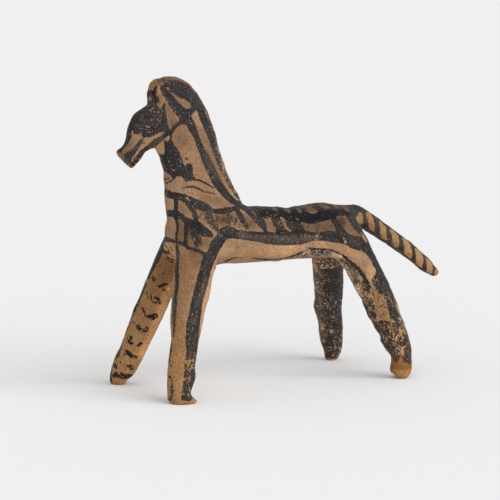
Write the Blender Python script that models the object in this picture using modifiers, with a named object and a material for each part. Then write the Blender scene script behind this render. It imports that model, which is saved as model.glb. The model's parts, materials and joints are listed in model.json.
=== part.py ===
"""A small painted horse of the Greek Geometric period, shaped by hand in clay and fired in one piece.

The horse looks along -X, its left flank faces -Y and +Z is up. It stands on the plane z = 0, and
the origin is the middle of its bounding box in that plane.

Each limb starts as a roll of clay, a closed loft through a few oval sections. The rolls are pressed
into one body, wet clay is wiped into the joins, and the feet are set down flat.
"""

import math
from typing import NamedTuple

import bmesh
import bpy
import numpy as np
from mathutils import Vector

MM = 0.001

# Driving dimensions
HEIGHT = 145.0 * MM
STANCE_REACH = 59.6 * MM
FRONT_SPREAD = 28.3 * MM
HIND_SPREAD = 28.8 * MM
TAIL_LENGTH = 49.5 * MM
TAIL_SLOPE = math.radians(34.8)

# The tables below are in shares of the height: one unit is a 145th of it
UNIT = HEIGHT / 145.0

# How finely the clay is worked
RING_SIDES = 32
RINGS_PER_STEP = 5
GRAIN = 1.0 * MM
JOIN_PASSES = 70
EVENING_PASSES = 10
FACES_KEPT = 0.104
MERGE_DISTANCE = 0.02 * MM

CLAY_COLOUR = (0.314, 0.195, 0.109, 1.0)
CLAY_ROUGHNESS = 0.62


class Section(NamedTuple):
    """One oval section of a roll: its centre, half sizes, squareness and how thin its ridge is."""

    x: float
    y: float
    z: float
    deep: float
    wide: float
    square: float = 2.0
    ridge: float = 0.0


class Girth(NamedTuple):
    """A leg at one height: how far it bows off the line from hip to foot, and its half sizes."""

    height: float
    along: float
    inward: float
    deep: float
    wide: float


TRUNK = (
    Section(-47.8, 0.0, 73.5, 4.0, 3.5, 2.2),
    Section(-46.6, 0.0, 73.5, 9.5, 6.0, 2.2),
    Section(-42.5, 0.0, 73.0, 12.3, 10.5, 2.2),
    Section(-33.0, 0.0, 71.8, 14.0, 14.6, 2.2),
    Section(-18.0, 0.0, 70.2, 13.4, 14.2, 2.2),
    Section(0.0, 0.0, 68.7, 12.8, 12.8, 2.1),
    Section(18.0, 0.0, 68.2, 12.3, 14.2, 2.2),
    Section(32.0, 0.0, 68.1, 12.4, 17.4, 2.4),
    Section(41.0, 0.0, 67.7, 12.0, 16.9, 2.4),
    Section(47.0, 0.0, 67.8, 11.2, 13.6, 2.4),
    Section(50.8, 0.0, 68.0, 8.4, 8.4, 2.3),
)

NECK = (
    Section(-28.8, 0.0, 68.0, 20.8, 13.4, 2.2, 0.20),
    Section(-30.0, 0.0, 79.0, 20.4, 13.0, 2.2, 0.45),
    Section(-32.6, 0.0, 88.0, 18.2, 10.8, 2.2, 0.60),
    Section(-34.9, 0.0, 98.0, 16.2, 8.8, 2.2, 0.55),
    Section(-38.0, 0.0, 109.0, 15.4, 7.6, 2.2, 0.55),
    Section(-41.2, 0.0, 120.0, 14.9, 6.9, 2.3, 0.55),
    Section(-44.9, 0.0, 130.0, 13.1, 6.0, 2.3, 0.50),
    Section(-48.5, 0.0, 137.0, 10.0, 5.2, 2.2, 0.40),
    Section(-50.6, 0.0, 141.4, 6.8, 4.0),
    Section(-51.4, 0.0, 143.9, 3.8, 2.4),
)

FORELOCK = (
    Section(-46.0, 0.0, 137.0, 6.6, 4.2),
    Section(-50.0, 0.0, 137.2, 6.2, 4.0),
    Section(-54.0, 0.0, 137.0, 5.0, 3.6),
    Section(-57.4, 0.0, 136.4, 3.0, 2.6),
)

HEAD = (
    Section(-48.0, 0.0, 124.0, 10.0, 7.4),
    Section(-55.2, 0.0, 122.6, 10.9, 7.9),
    Section(-60.6, 0.0, 120.3, 9.5, 7.7),
    Section(-64.6, 0.0, 116.6, 7.6, 6.6),
    Section(-67.3, 0.0, 112.8, 5.6, 5.6),
    Section(-69.8, 0.0, 110.2, 5.1, 5.2),
    Section(-72.5, 0.0, 108.0, 5.5, 5.6),
)

# The right ear; the left one is its mirror image
EAR = (
    Section(-55.4, 2.6, 142.4, 1.4, 1.4),
    Section(-56.3, 3.7, 139.6, 2.0, 1.7),
    Section(-56.0, 4.7, 136.0, 2.3, 1.8),
    Section(-54.9, 5.8, 132.2, 2.1, 1.7),
    Section(-54.6, 6.2, 129.4, 1.2, 1.0),
)

# The tail's root inside the rump, then its half sizes at even steps down to the tip
TAIL_ROOT = (
    Section(34.0, 0.0, 72.6, 5.0, 6.0),
    Section(45.0, 0.0, 73.9, 5.0, 5.8),
    Section(53.5, 0.0, 73.2, 4.8, 5.1),
)
TAIL_START = (60.0, 70.3)
TAIL_ARCH = 0.8
TAIL_TAPER = (4.5, 4.3, 4.0, 3.8, 3.5, 2.5)

FRONT_ROOT = Section(-34.5, 7.0, 75.0, 9.0, 6.0)
FRONT_HIP = Vector((-40.6, 10.2, 62.0))
LEFT_FORELEG = (
    Girth(62.0, -0.4, -0.3, 9.4, 8.8),
    Girth(48.0, -1.5, 1.0, 8.8, 8.3),
    Girth(34.0, -1.4, 1.1, 7.5, 7.4),
    Girth(26.0, -1.2, 1.2, 6.6, 6.6),
    Girth(18.0, -1.6, 1.2, 6.2, 6.3),
    Girth(10.0, -1.8, 0.7, 6.2, 6.2),
    Girth(3.5, -1.5, -0.4, 5.9, 6.1),
    Girth(-3.0, 0.9, 0.9, 7.6, 7.0),
)
RIGHT_FORELEG = (
    Girth(62.0, 1.4, 0.2, 8.3, 8.4),
    Girth(48.0, -0.7, 1.2, 7.2, 7.4),
    Girth(34.0, -0.9, 1.4, 6.9, 7.1),
    Girth(22.0, -1.3, 1.3, 6.2, 6.4),
    Girth(10.0, -1.1, 0.3, 5.9, 6.1),
    Girth(3.0, -0.6, -0.4, 5.1, 5.4),
    Girth(-1.0, 0.1, 0.3, 4.2, 4.5),
    Girth(-3.0, 0.7, 0.8, 3.4, 3.6),
)

HIND_ROOT = Section(38.5, 8.5, 71.0, 8.6, 7.0)
HIND_HIP = Vector((44.3, 11.3, 60.0))
LEFT_HINDLEG = (
    Girth(60.0, -0.6, 0.1, 8.4, 8.3),
    Girth(48.0, 0.9, -1.4, 8.0, 8.1),
    Girth(34.0, 2.2, -2.8, 7.5, 7.6),
    Girth(22.0, 2.7, -3.4, 6.9, 6.9),
    Girth(10.0, 2.4, -2.6, 5.6, 5.5),
    Girth(3.0, 1.2, -0.9, 5.0, 5.2),
    Girth(-3.0, -0.4, 0.9, 5.0, 5.2),
)
RIGHT_HINDLEG = (
    Girth(60.0, 0.6, -0.2, 8.4, 8.4),
    Girth(48.0, 1.4, -1.7, 7.5, 7.6),
    Girth(34.0, 1.8, -3.0, 6.9, 7.0),
    Girth(22.0, 1.7, -3.5, 6.4, 6.5),
    Girth(10.0, 1.9, -3.0, 5.7, 5.5),
    Girth(2.0, 0.4, -0.6, 4.5, 4.5),
    Girth(-3.0, -0.9, 0.9, 2.9, 3.0),
)

# Above the neck's middle the joins stay crisp, so that brow, jaw and ears still show
CRISP_FROM = 98.0
CRISP_BY = 110.0
CRISP_SHARE = 0.10


def clear_scene() -> None:
    """Remove every object of the open file."""
    for obj in list(bpy.data.objects):
        bpy.data.objects.remove(obj)


def outline(section: Section, angle: float) -> tuple[float, float]:
    """Offset of one point of an oval section along its depth and its width, thin at the ridge."""
    power = 2.0 / section.square
    cosine, sine = math.cos(angle), math.sin(angle)
    along = math.copysign(abs(cosine) ** power, cosine)
    across = math.copysign(abs(sine) ** power, sine)
    slimming = 1.0 - section.ridge * (0.5 - 0.5 * along) ** 1.5
    return section.deep * along, section.wide * across * slimming


def between(a: float, b: float, c: float, d: float, t: float) -> float:
    """Catmull-Rom value between b and c."""
    straight = 2.0 * b + (c - a) * t
    curved = (2.0 * a - 5.0 * b + 4.0 * c - d) * t * t + (3.0 * b - a - 3.0 * c + d) * t**3
    return 0.5 * (straight + curved)


def refine(sections: tuple[Section, ...]) -> list[Section]:
    """The same roll with more sections, on a smooth curve through the given ones."""
    rows = [sections[0], *sections, sections[-1]]
    dense = []
    for first in range(len(sections) - 1):
        for step in range(RINGS_PER_STEP):
            near = rows[first : first + 4]
            values = [between(*four, step / RINGS_PER_STEP) for four in zip(*near)]
            dense.append(Section(*values))
    return [*dense, sections[-1]]


def roll(bm: bmesh.types.BMesh, sections: tuple[Section, ...]) -> None:
    """Add one closed roll of clay, lofted through its sections."""
    dense = refine(sections)
    centres = [Vector((s.x, s.y, s.z)) for s in dense]
    rings = []
    for i, section in enumerate(dense):
        course = (centres[min(i + 1, len(dense) - 1)] - centres[max(i - 1, 0)]).normalized()
        side = (Vector((0.0, 1.0, 0.0)) - course * course.y).normalized()
        depth = course.cross(side)
        ring = []
        for k in range(RING_SIDES):
            deep, wide = outline(section, math.tau * k / RING_SIDES)
            ring.append(bm.verts.new((centres[i] + depth * deep + side * wide) * UNIT))
        rings.append([bm.edges.new((ring[k - 1], ring[k])) for k in range(RING_SIDES)])
    faces = []
    for near, far in zip(rings, rings[1:]):
        faces += bmesh.ops.bridge_loops(bm, edges=near + far)["faces"]
    for end in (rings[0], rings[-1]):
        faces += bmesh.ops.contextual_create(bm, geom=end)["faces"]
    bmesh.ops.recalc_face_normals(bm, faces=faces)


def leg(
    root: Section, hip: Vector, reach: float, spread: float, side: int, girths: tuple[Girth, ...]
) -> tuple[Section, ...]:
    """Sections of one leg, from inside the body through the hip down to the foot.

    Args:
        root: where the leg starts inside the body.
        hip: the point below which the leg is free of the body.
        reach: the foot's place along X, in metres.
        spread: the foot's distance from the middle plane, in metres.
        side: -1 for the left side, +1 for the right side.
        girths: the leg's bow and half sizes at each height.
    """
    foot = Vector((reach / UNIT, spread / UNIT, 0.0))
    sections = [root._replace(y=side * root.y)]
    for girth in girths:
        centre = hip.lerp(foot, 1.0 - girth.height / hip.z)
        x = centre.x + girth.along
        y = side * (centre.y - girth.inward)
        sections.append(Section(x, y, girth.height, girth.deep, girth.wide))
    return tuple(sections)


def tail() -> tuple[Section, ...]:
    """Sections of the tail, which leaves the rump and tapers down along a slight arch."""
    start_x, start_z = TAIL_START
    steps = len(TAIL_TAPER) - 1
    sections = list(TAIL_ROOT)
    for i, girth in enumerate(TAIL_TAPER):
        run = TAIL_LENGTH / UNIT * i / steps
        x = start_x + run * math.cos(TAIL_SLOPE)
        z = start_z - run * math.sin(TAIL_SLOPE) + TAIL_ARCH * math.sin(math.pi * i / steps)
        sections.append(Section(x, 0.0, z, girth, girth))
    return tuple(sections)


def pressed_together() -> bpy.types.Object:
    """All rolls of clay as one body, still with sharp joins."""
    bm = bmesh.new()
    for sections in (TRUNK, NECK, FORELOCK, HEAD, EAR, tail()):
        roll(bm, sections)
    roll(bm, tuple(section._replace(y=-section.y) for section in EAR))
    roll(bm, leg(FRONT_ROOT, FRONT_HIP, -STANCE_REACH, FRONT_SPREAD, -1, LEFT_FORELEG))
    roll(bm, leg(FRONT_ROOT, FRONT_HIP, -STANCE_REACH, FRONT_SPREAD, 1, RIGHT_FORELEG))
    roll(bm, leg(HIND_ROOT, HIND_HIP, STANCE_REACH, HIND_SPREAD, -1, LEFT_HINDLEG))
    roll(bm, leg(HIND_ROOT, HIND_HIP, STANCE_REACH, HIND_SPREAD, 1, RIGHT_HINDLEG))
    mesh = bpy.data.meshes.new("horse")
    bm.to_mesh(mesh)
    bm.free()
    horse = bpy.data.objects.new("horse", mesh)
    collection = bpy.data.collections.new("painted_clay_horse")
    bpy.context.scene.collection.children.link(collection)
    collection.objects.link(horse)
    remesh = horse.modifiers.new("one_body", "REMESH")
    remesh.mode = "VOXEL"
    remesh.voxel_size = GRAIN
    return horse


def apply_modifiers(obj: bpy.types.Object) -> None:
    """Replace the object's mesh by its evaluated one."""
    graph = bpy.context.evaluated_depsgraph_get()
    mesh = bpy.data.meshes.new_from_object(obj.evaluated_get(graph))
    obj.modifiers.clear()
    obj.data = mesh


def fill_joins(mesh: bpy.types.Mesh) -> None:
    """Wipe clay into the joins: hollows are raised to meet their neighbours, nothing is worn away."""
    count = len(mesh.vertices)
    places = np.empty(count * 3)
    mesh.vertices.foreach_get("co", places)
    places = places.reshape(-1, 3)
    edges = np.empty(len(mesh.edges) * 2, dtype=int)
    mesh.edges.foreach_get("vertices", edges)
    starts, ends = edges.reshape(-1, 2).T
    neighbours = np.bincount(starts, minlength=count) + np.bincount(ends, minlength=count)
    height = places[:, 2] / UNIT
    crisp = np.clip((height - CRISP_FROM) / (CRISP_BY - CRISP_FROM), 0.0, 1.0)
    share = 0.5 * (1.0 + crisp * (CRISP_SHARE - 1.0))
    normals = np.empty(count * 3)
    for _ in range(JOIN_PASSES):
        mesh.vertices.foreach_set("co", places.ravel())
        mesh.update()
        mesh.vertex_normals.foreach_get("vector", normals)
        outward = normals.reshape(-1, 3)
        total = np.zeros_like(places)
        for axis in range(3):
            total[:, axis] = np.bincount(starts, places[ends, axis], count)
            total[:, axis] += np.bincount(ends, places[starts, axis], count)
        pull = total / neighbours[:, None] - places
        rise = np.einsum("ij,ij->i", pull, outward)
        places += np.where(rise > 0.0, share, 0.0)[:, None] * pull
    mesh.vertices.foreach_set("co", places.ravel())
    mesh.update()


def set_feet_flat(mesh: bpy.types.Mesh) -> None:
    """Cut the feet level at z = 0 and move the middle of the bounding box over the origin."""
    bm = bmesh.new()
    bm.from_mesh(mesh)
    bmesh.ops.bisect_plane(
        bm,
        geom=[*bm.verts, *bm.edges, *bm.faces],
        dist=MERGE_DISTANCE,
        plane_co=(0.0, 0.0, 0.0),
        plane_no=(0.0, 0.0, -1.0),
        clear_outer=True,
    )
    soles = bmesh.ops.holes_fill(bm, edges=[edge for edge in bm.edges if edge.is_boundary])
    bmesh.ops.triangulate(bm, faces=soles["faces"])
    bmesh.ops.remove_doubles(bm, verts=bm.verts, dist=MERGE_DISTANCE)
    bmesh.ops.dissolve_degenerate(bm, edges=bm.edges, dist=MERGE_DISTANCE)
    for axis in (0, 1):
        reach = [vert.co[axis] for vert in bm.verts]
        middle = 0.5 * (min(reach) + max(reach))
        for vert in bm.verts:
            vert.co[axis] -= middle
    bm.to_mesh(mesh)
    bm.free()


def painted_clay() -> bpy.types.Material:
    """Light brown fired clay."""
    material = bpy.data.materials.new("painted_clay")
    material.use_nodes = True
    shader = material.node_tree.nodes["Principled BSDF"]
    shader.inputs["Base Color"].default_value = CLAY_COLOUR
    shader.inputs["Roughness"].default_value = CLAY_ROUGHNESS
    shader.inputs["Metallic"].default_value = 0.0
    return material


def build_horse() -> bpy.types.Object:
    """The finished horse, a single closed body."""
    horse = pressed_together()
    apply_modifiers(horse)
    fill_joins(horse.data)
    even = horse.modifiers.new("even_out", "SMOOTH")
    even.factor = 0.5
    even.iterations = EVENING_PASSES
    fewer = horse.modifiers.new("fewer_faces", "DECIMATE")
    fewer.ratio = FACES_KEPT
    apply_modifiers(horse)
    set_feet_flat(horse.data)
    horse.data.shade_smooth()
    horse.data.materials.append(painted_clay())
    return horse


clear_scene()
build_horse()
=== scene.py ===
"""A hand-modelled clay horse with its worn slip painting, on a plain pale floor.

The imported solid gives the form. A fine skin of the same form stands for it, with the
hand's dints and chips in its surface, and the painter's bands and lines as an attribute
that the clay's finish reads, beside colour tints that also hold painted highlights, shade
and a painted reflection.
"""

import json
import logging
import math
from dataclasses import dataclass
from enum import Enum

import bmesh
import bpy
import numpy as np
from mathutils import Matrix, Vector, noise

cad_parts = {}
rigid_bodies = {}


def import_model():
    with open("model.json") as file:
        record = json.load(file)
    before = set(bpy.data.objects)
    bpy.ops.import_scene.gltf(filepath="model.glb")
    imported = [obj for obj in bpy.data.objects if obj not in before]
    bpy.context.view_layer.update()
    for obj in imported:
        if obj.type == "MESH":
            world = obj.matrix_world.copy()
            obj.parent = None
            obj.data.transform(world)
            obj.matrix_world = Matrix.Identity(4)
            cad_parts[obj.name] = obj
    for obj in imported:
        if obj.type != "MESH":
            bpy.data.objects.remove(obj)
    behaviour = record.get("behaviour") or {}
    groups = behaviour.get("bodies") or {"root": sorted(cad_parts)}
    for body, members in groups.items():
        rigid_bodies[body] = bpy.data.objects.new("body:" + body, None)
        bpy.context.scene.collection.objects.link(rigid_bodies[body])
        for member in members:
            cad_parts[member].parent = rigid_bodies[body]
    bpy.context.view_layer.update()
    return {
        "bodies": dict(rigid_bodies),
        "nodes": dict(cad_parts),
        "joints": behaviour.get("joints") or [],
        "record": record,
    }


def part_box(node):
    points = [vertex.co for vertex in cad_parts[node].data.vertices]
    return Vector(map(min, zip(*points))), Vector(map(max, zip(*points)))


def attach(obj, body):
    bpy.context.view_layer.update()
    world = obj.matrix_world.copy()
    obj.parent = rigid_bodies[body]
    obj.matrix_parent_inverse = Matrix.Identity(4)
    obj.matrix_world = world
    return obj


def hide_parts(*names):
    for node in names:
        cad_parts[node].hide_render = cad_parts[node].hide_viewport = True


logger = logging.getLogger("clay_horse")

MILLIMETRE = 0.001
FRAME_WIDTH = 500.0
PIECE_NAME = "painted_horse"
# colour tints on the skin; they also hold painted highlights, painted shade and a painted reflection
TINTS_AND_LIGHT = ("red_tint_and_light", "green_tint_and_light", "blue_tint_and_light")
PATCH_STEPS = 3
STROKE_STEPS = 4
OUT_OF_REACH = 1e9
TINY = 1e-9
METRE_IN_MILLIMETRES = 1000.0
FADE_INSIDE = 0.2
FADE_OUTSIDE = 0.8

Points = tuple[tuple[float, ...], ...]
Colour = tuple[float, float, float, float]
Socket = bpy.types.NodeSocket


class Part(Enum):
    """The parts of the horse that are painted on their own."""

    BODY = 0
    NEAR_FORE = 1
    FAR_FORE = 2
    NEAR_HIND = 3
    FAR_HIND = 4
    TAIL = 5


BODY = (Part.BODY,)
NEAR_FORE = (Part.NEAR_FORE,)
FAR_FORE = (Part.FAR_FORE,)
NEAR_HIND = (Part.NEAR_HIND,)
FAR_HIND = (Part.FAR_HIND,)
TAIL = (Part.TAIL,)
NEAR_SHOULDER = BODY + NEAR_FORE
FAR_SHOULDER = BODY + FAR_FORE
CHEST = BODY + NEAR_FORE + FAR_FORE
NEAR_HAUNCH = BODY + NEAR_HIND
FAR_HAUNCH = BODY + FAR_HIND
RUMP = BODY + TAIL


class Layer(Enum):
    """What a mark leaves behind: dark slip, or the bare clay."""

    SLIP = "slip"
    BARE = "bare"


class Tone(Enum):
    """What a wash does; three numbers tell how much red, green and blue light it leaves."""

    GOLDEN = (1.00, 0.88, 0.60)
    OLIVE = (0.98, 0.95, 0.74)
    # UMBER also lays the painted shade down the near foreleg.
    UMBER = (0.46, 0.43, 0.38)
    # PALE and ROSY also lay the painted reflection along the belly's lower edge.
    PALE = (1.65, 1.72, 1.78)
    # BRIGHT also lays the painted highlights on the forelegs and the painted light on the lower flank.
    BRIGHT = (1.62, 1.56, 1.46)
    ROSY = (0.95, 1.05, 1.35)
    THIN = "thin brown slip"
    DEEP = "thick black slip"
    WORN = "flaked slip"
    SPARED = "whole slip"
    SOOTED = "grey crumbs on the clay"


def smooth_step(low: float, high: float, values: np.ndarray) -> np.ndarray:
    """Returns 0 below low and 1 above high, with a soft rise between."""
    t = np.clip((values - low) / (high - low), 0.0, 1.0)
    return t * t * (3.0 - 2.0 * t)


def rough_field(points: np.ndarray, grain: float, seed: float) -> np.ndarray:
    """Gives each point a smooth random height.

    Args:
        points: Points in metres, one a row.
        grain: The size of a lump in metres.
        seed: Shifts the pattern.

    Returns:
        Heights from about -1 to 1.
    """
    shifted = points / grain + seed
    return np.array([noise.noise(Vector(p)) for p in shifted])


def smooth_run(chain: np.ndarray, steps: int) -> list[np.ndarray]:
    """Runs a smooth curve through the inner points of a chain.

    Args:
        chain: The points, with one more at either end that only sets the curve's direction.
        steps: How many points each span gets.

    Returns:
        The curve's points, without the last inner one.
    """
    points = []
    for before, start, end, after in zip(chain, chain[1:], chain[2:], chain[3:]):
        for step in range(steps):
            t = step / steps
            first = (end - before) * t
            second = (2 * before - 5 * start + 4 * end - after) * t * t
            third = (3 * start - before - 3 * end + after) * t**3
            points.append(0.5 * (2 * start + first + second + third))
    return points


def span_distance(spots: np.ndarray, start: np.ndarray, end: np.ndarray) -> tuple[np.ndarray, np.ndarray]:
    """Finds each spot's nearest place on a straight span.

    Args:
        spots: Places in pixels, one a row.
        start: The span's first point.
        end: The span's last point.

    Returns:
        How far along the span that place lies, from 0 to 1, and the spot's distance from it.
    """
    side = end - start
    along = np.clip(((spots - start) @ side) / max(side @ side, TINY), 0.0, 1.0)
    return along, np.linalg.norm(spots - start - along[:, None] * side, axis=1)


def stroke_distance(points: Points, spots: np.ndarray) -> np.ndarray:
    """Finds each spot's distance from the edge of a brush stroke.

    Args:
        points: Points on the stroke's middle line, with its width at each, in pixels.
        spots: Places in pixels, one a row.

    Returns:
        The distances in pixels, below zero inside the stroke.
    """
    run = np.array(points, float)
    if len(run) > 2:
        chain = np.vstack([2 * run[0] - run[1], run, 2 * run[-1] - run[-2]])
        run = np.array(smooth_run(chain, STROKE_STEPS) + [run[-1]])
    nearest = np.full(len(spots), OUT_OF_REACH)
    for start, end in zip(run[:-1], run[1:]):
        along, away = span_distance(spots, start[:2], end[:2])
        nearest = np.minimum(nearest, away - 0.5 * (start[2] + along * (end[2] - start[2])))
    return nearest


def within_reach(
    points: Points, owners: tuple[Part, ...], margin: float, spots: np.ndarray, parts: np.ndarray
) -> np.ndarray:
    """Finds the spots that a drawn line can reach.

    Args:
        points: The line's points in pixels.
        owners: The parts that the line lies on.
        margin: How far it reaches past its points, in pixels.
        spots: Places in pixels, one a row.
        parts: Each spot's part.

    Returns:
        The rows of the spots within reach.
    """
    line = np.array(points, float)[:, :2]
    near = np.isin(parts, [part.value for part in owners])
    near &= np.all((spots > line.min(axis=0) - margin) & (spots < line.max(axis=0) + margin), axis=1)
    return np.nonzero(near)[0]


@dataclass(frozen=True)
class Mark:
    """One mark of the painter, drawn in pixels of the photograph's 500 x 500 frame."""

    name: str
    layer: Layer
    parts: tuple[Part, ...]
    wear: float
    points: Points

    def distance(self, spots: np.ndarray) -> np.ndarray:
        """Returns each spot's distance from the mark's edge in pixels, below zero inside it."""
        raise NotImplementedError


@dataclass(frozen=True)
class Patch(Mark):
    """A filled shape, given by its outline."""

    def distance(self, spots: np.ndarray) -> np.ndarray:
        """Finds each spot's distance from the outline.

        Args:
            spots: Places in pixels, one a row.

        Returns:
            The distances in pixels, below zero inside the outline.
        """
        corners = np.array(self.points, float)
        outline = np.array(smooth_run(np.vstack([corners[-1:], corners, corners[:2]]), PATCH_STEPS))
        nearest = np.full(len(spots), OUT_OF_REACH)
        inside = np.zeros(len(spots), bool)
        for start, end in zip(outline, np.roll(outline, -1, axis=0)):
            nearest = np.minimum(nearest, span_distance(spots, start, end)[1])
            side = end - start
            if abs(side[1]) > TINY:
                crossed = (start[1] > spots[:, 1]) != (end[1] > spots[:, 1])
                inside ^= crossed & (spots[:, 0] < start[0] + (spots[:, 1] - start[1]) * side[0] / side[1])
        return np.where(inside, -nearest, nearest)


@dataclass(frozen=True)
class Stroke(Mark):
    """A brush stroke, given by points on its middle line and its width at each."""

    def distance(self, spots: np.ndarray) -> np.ndarray:
        """Returns each spot's distance from the stroke's edge, below zero inside it."""
        return stroke_distance(self.points, spots)


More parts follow.
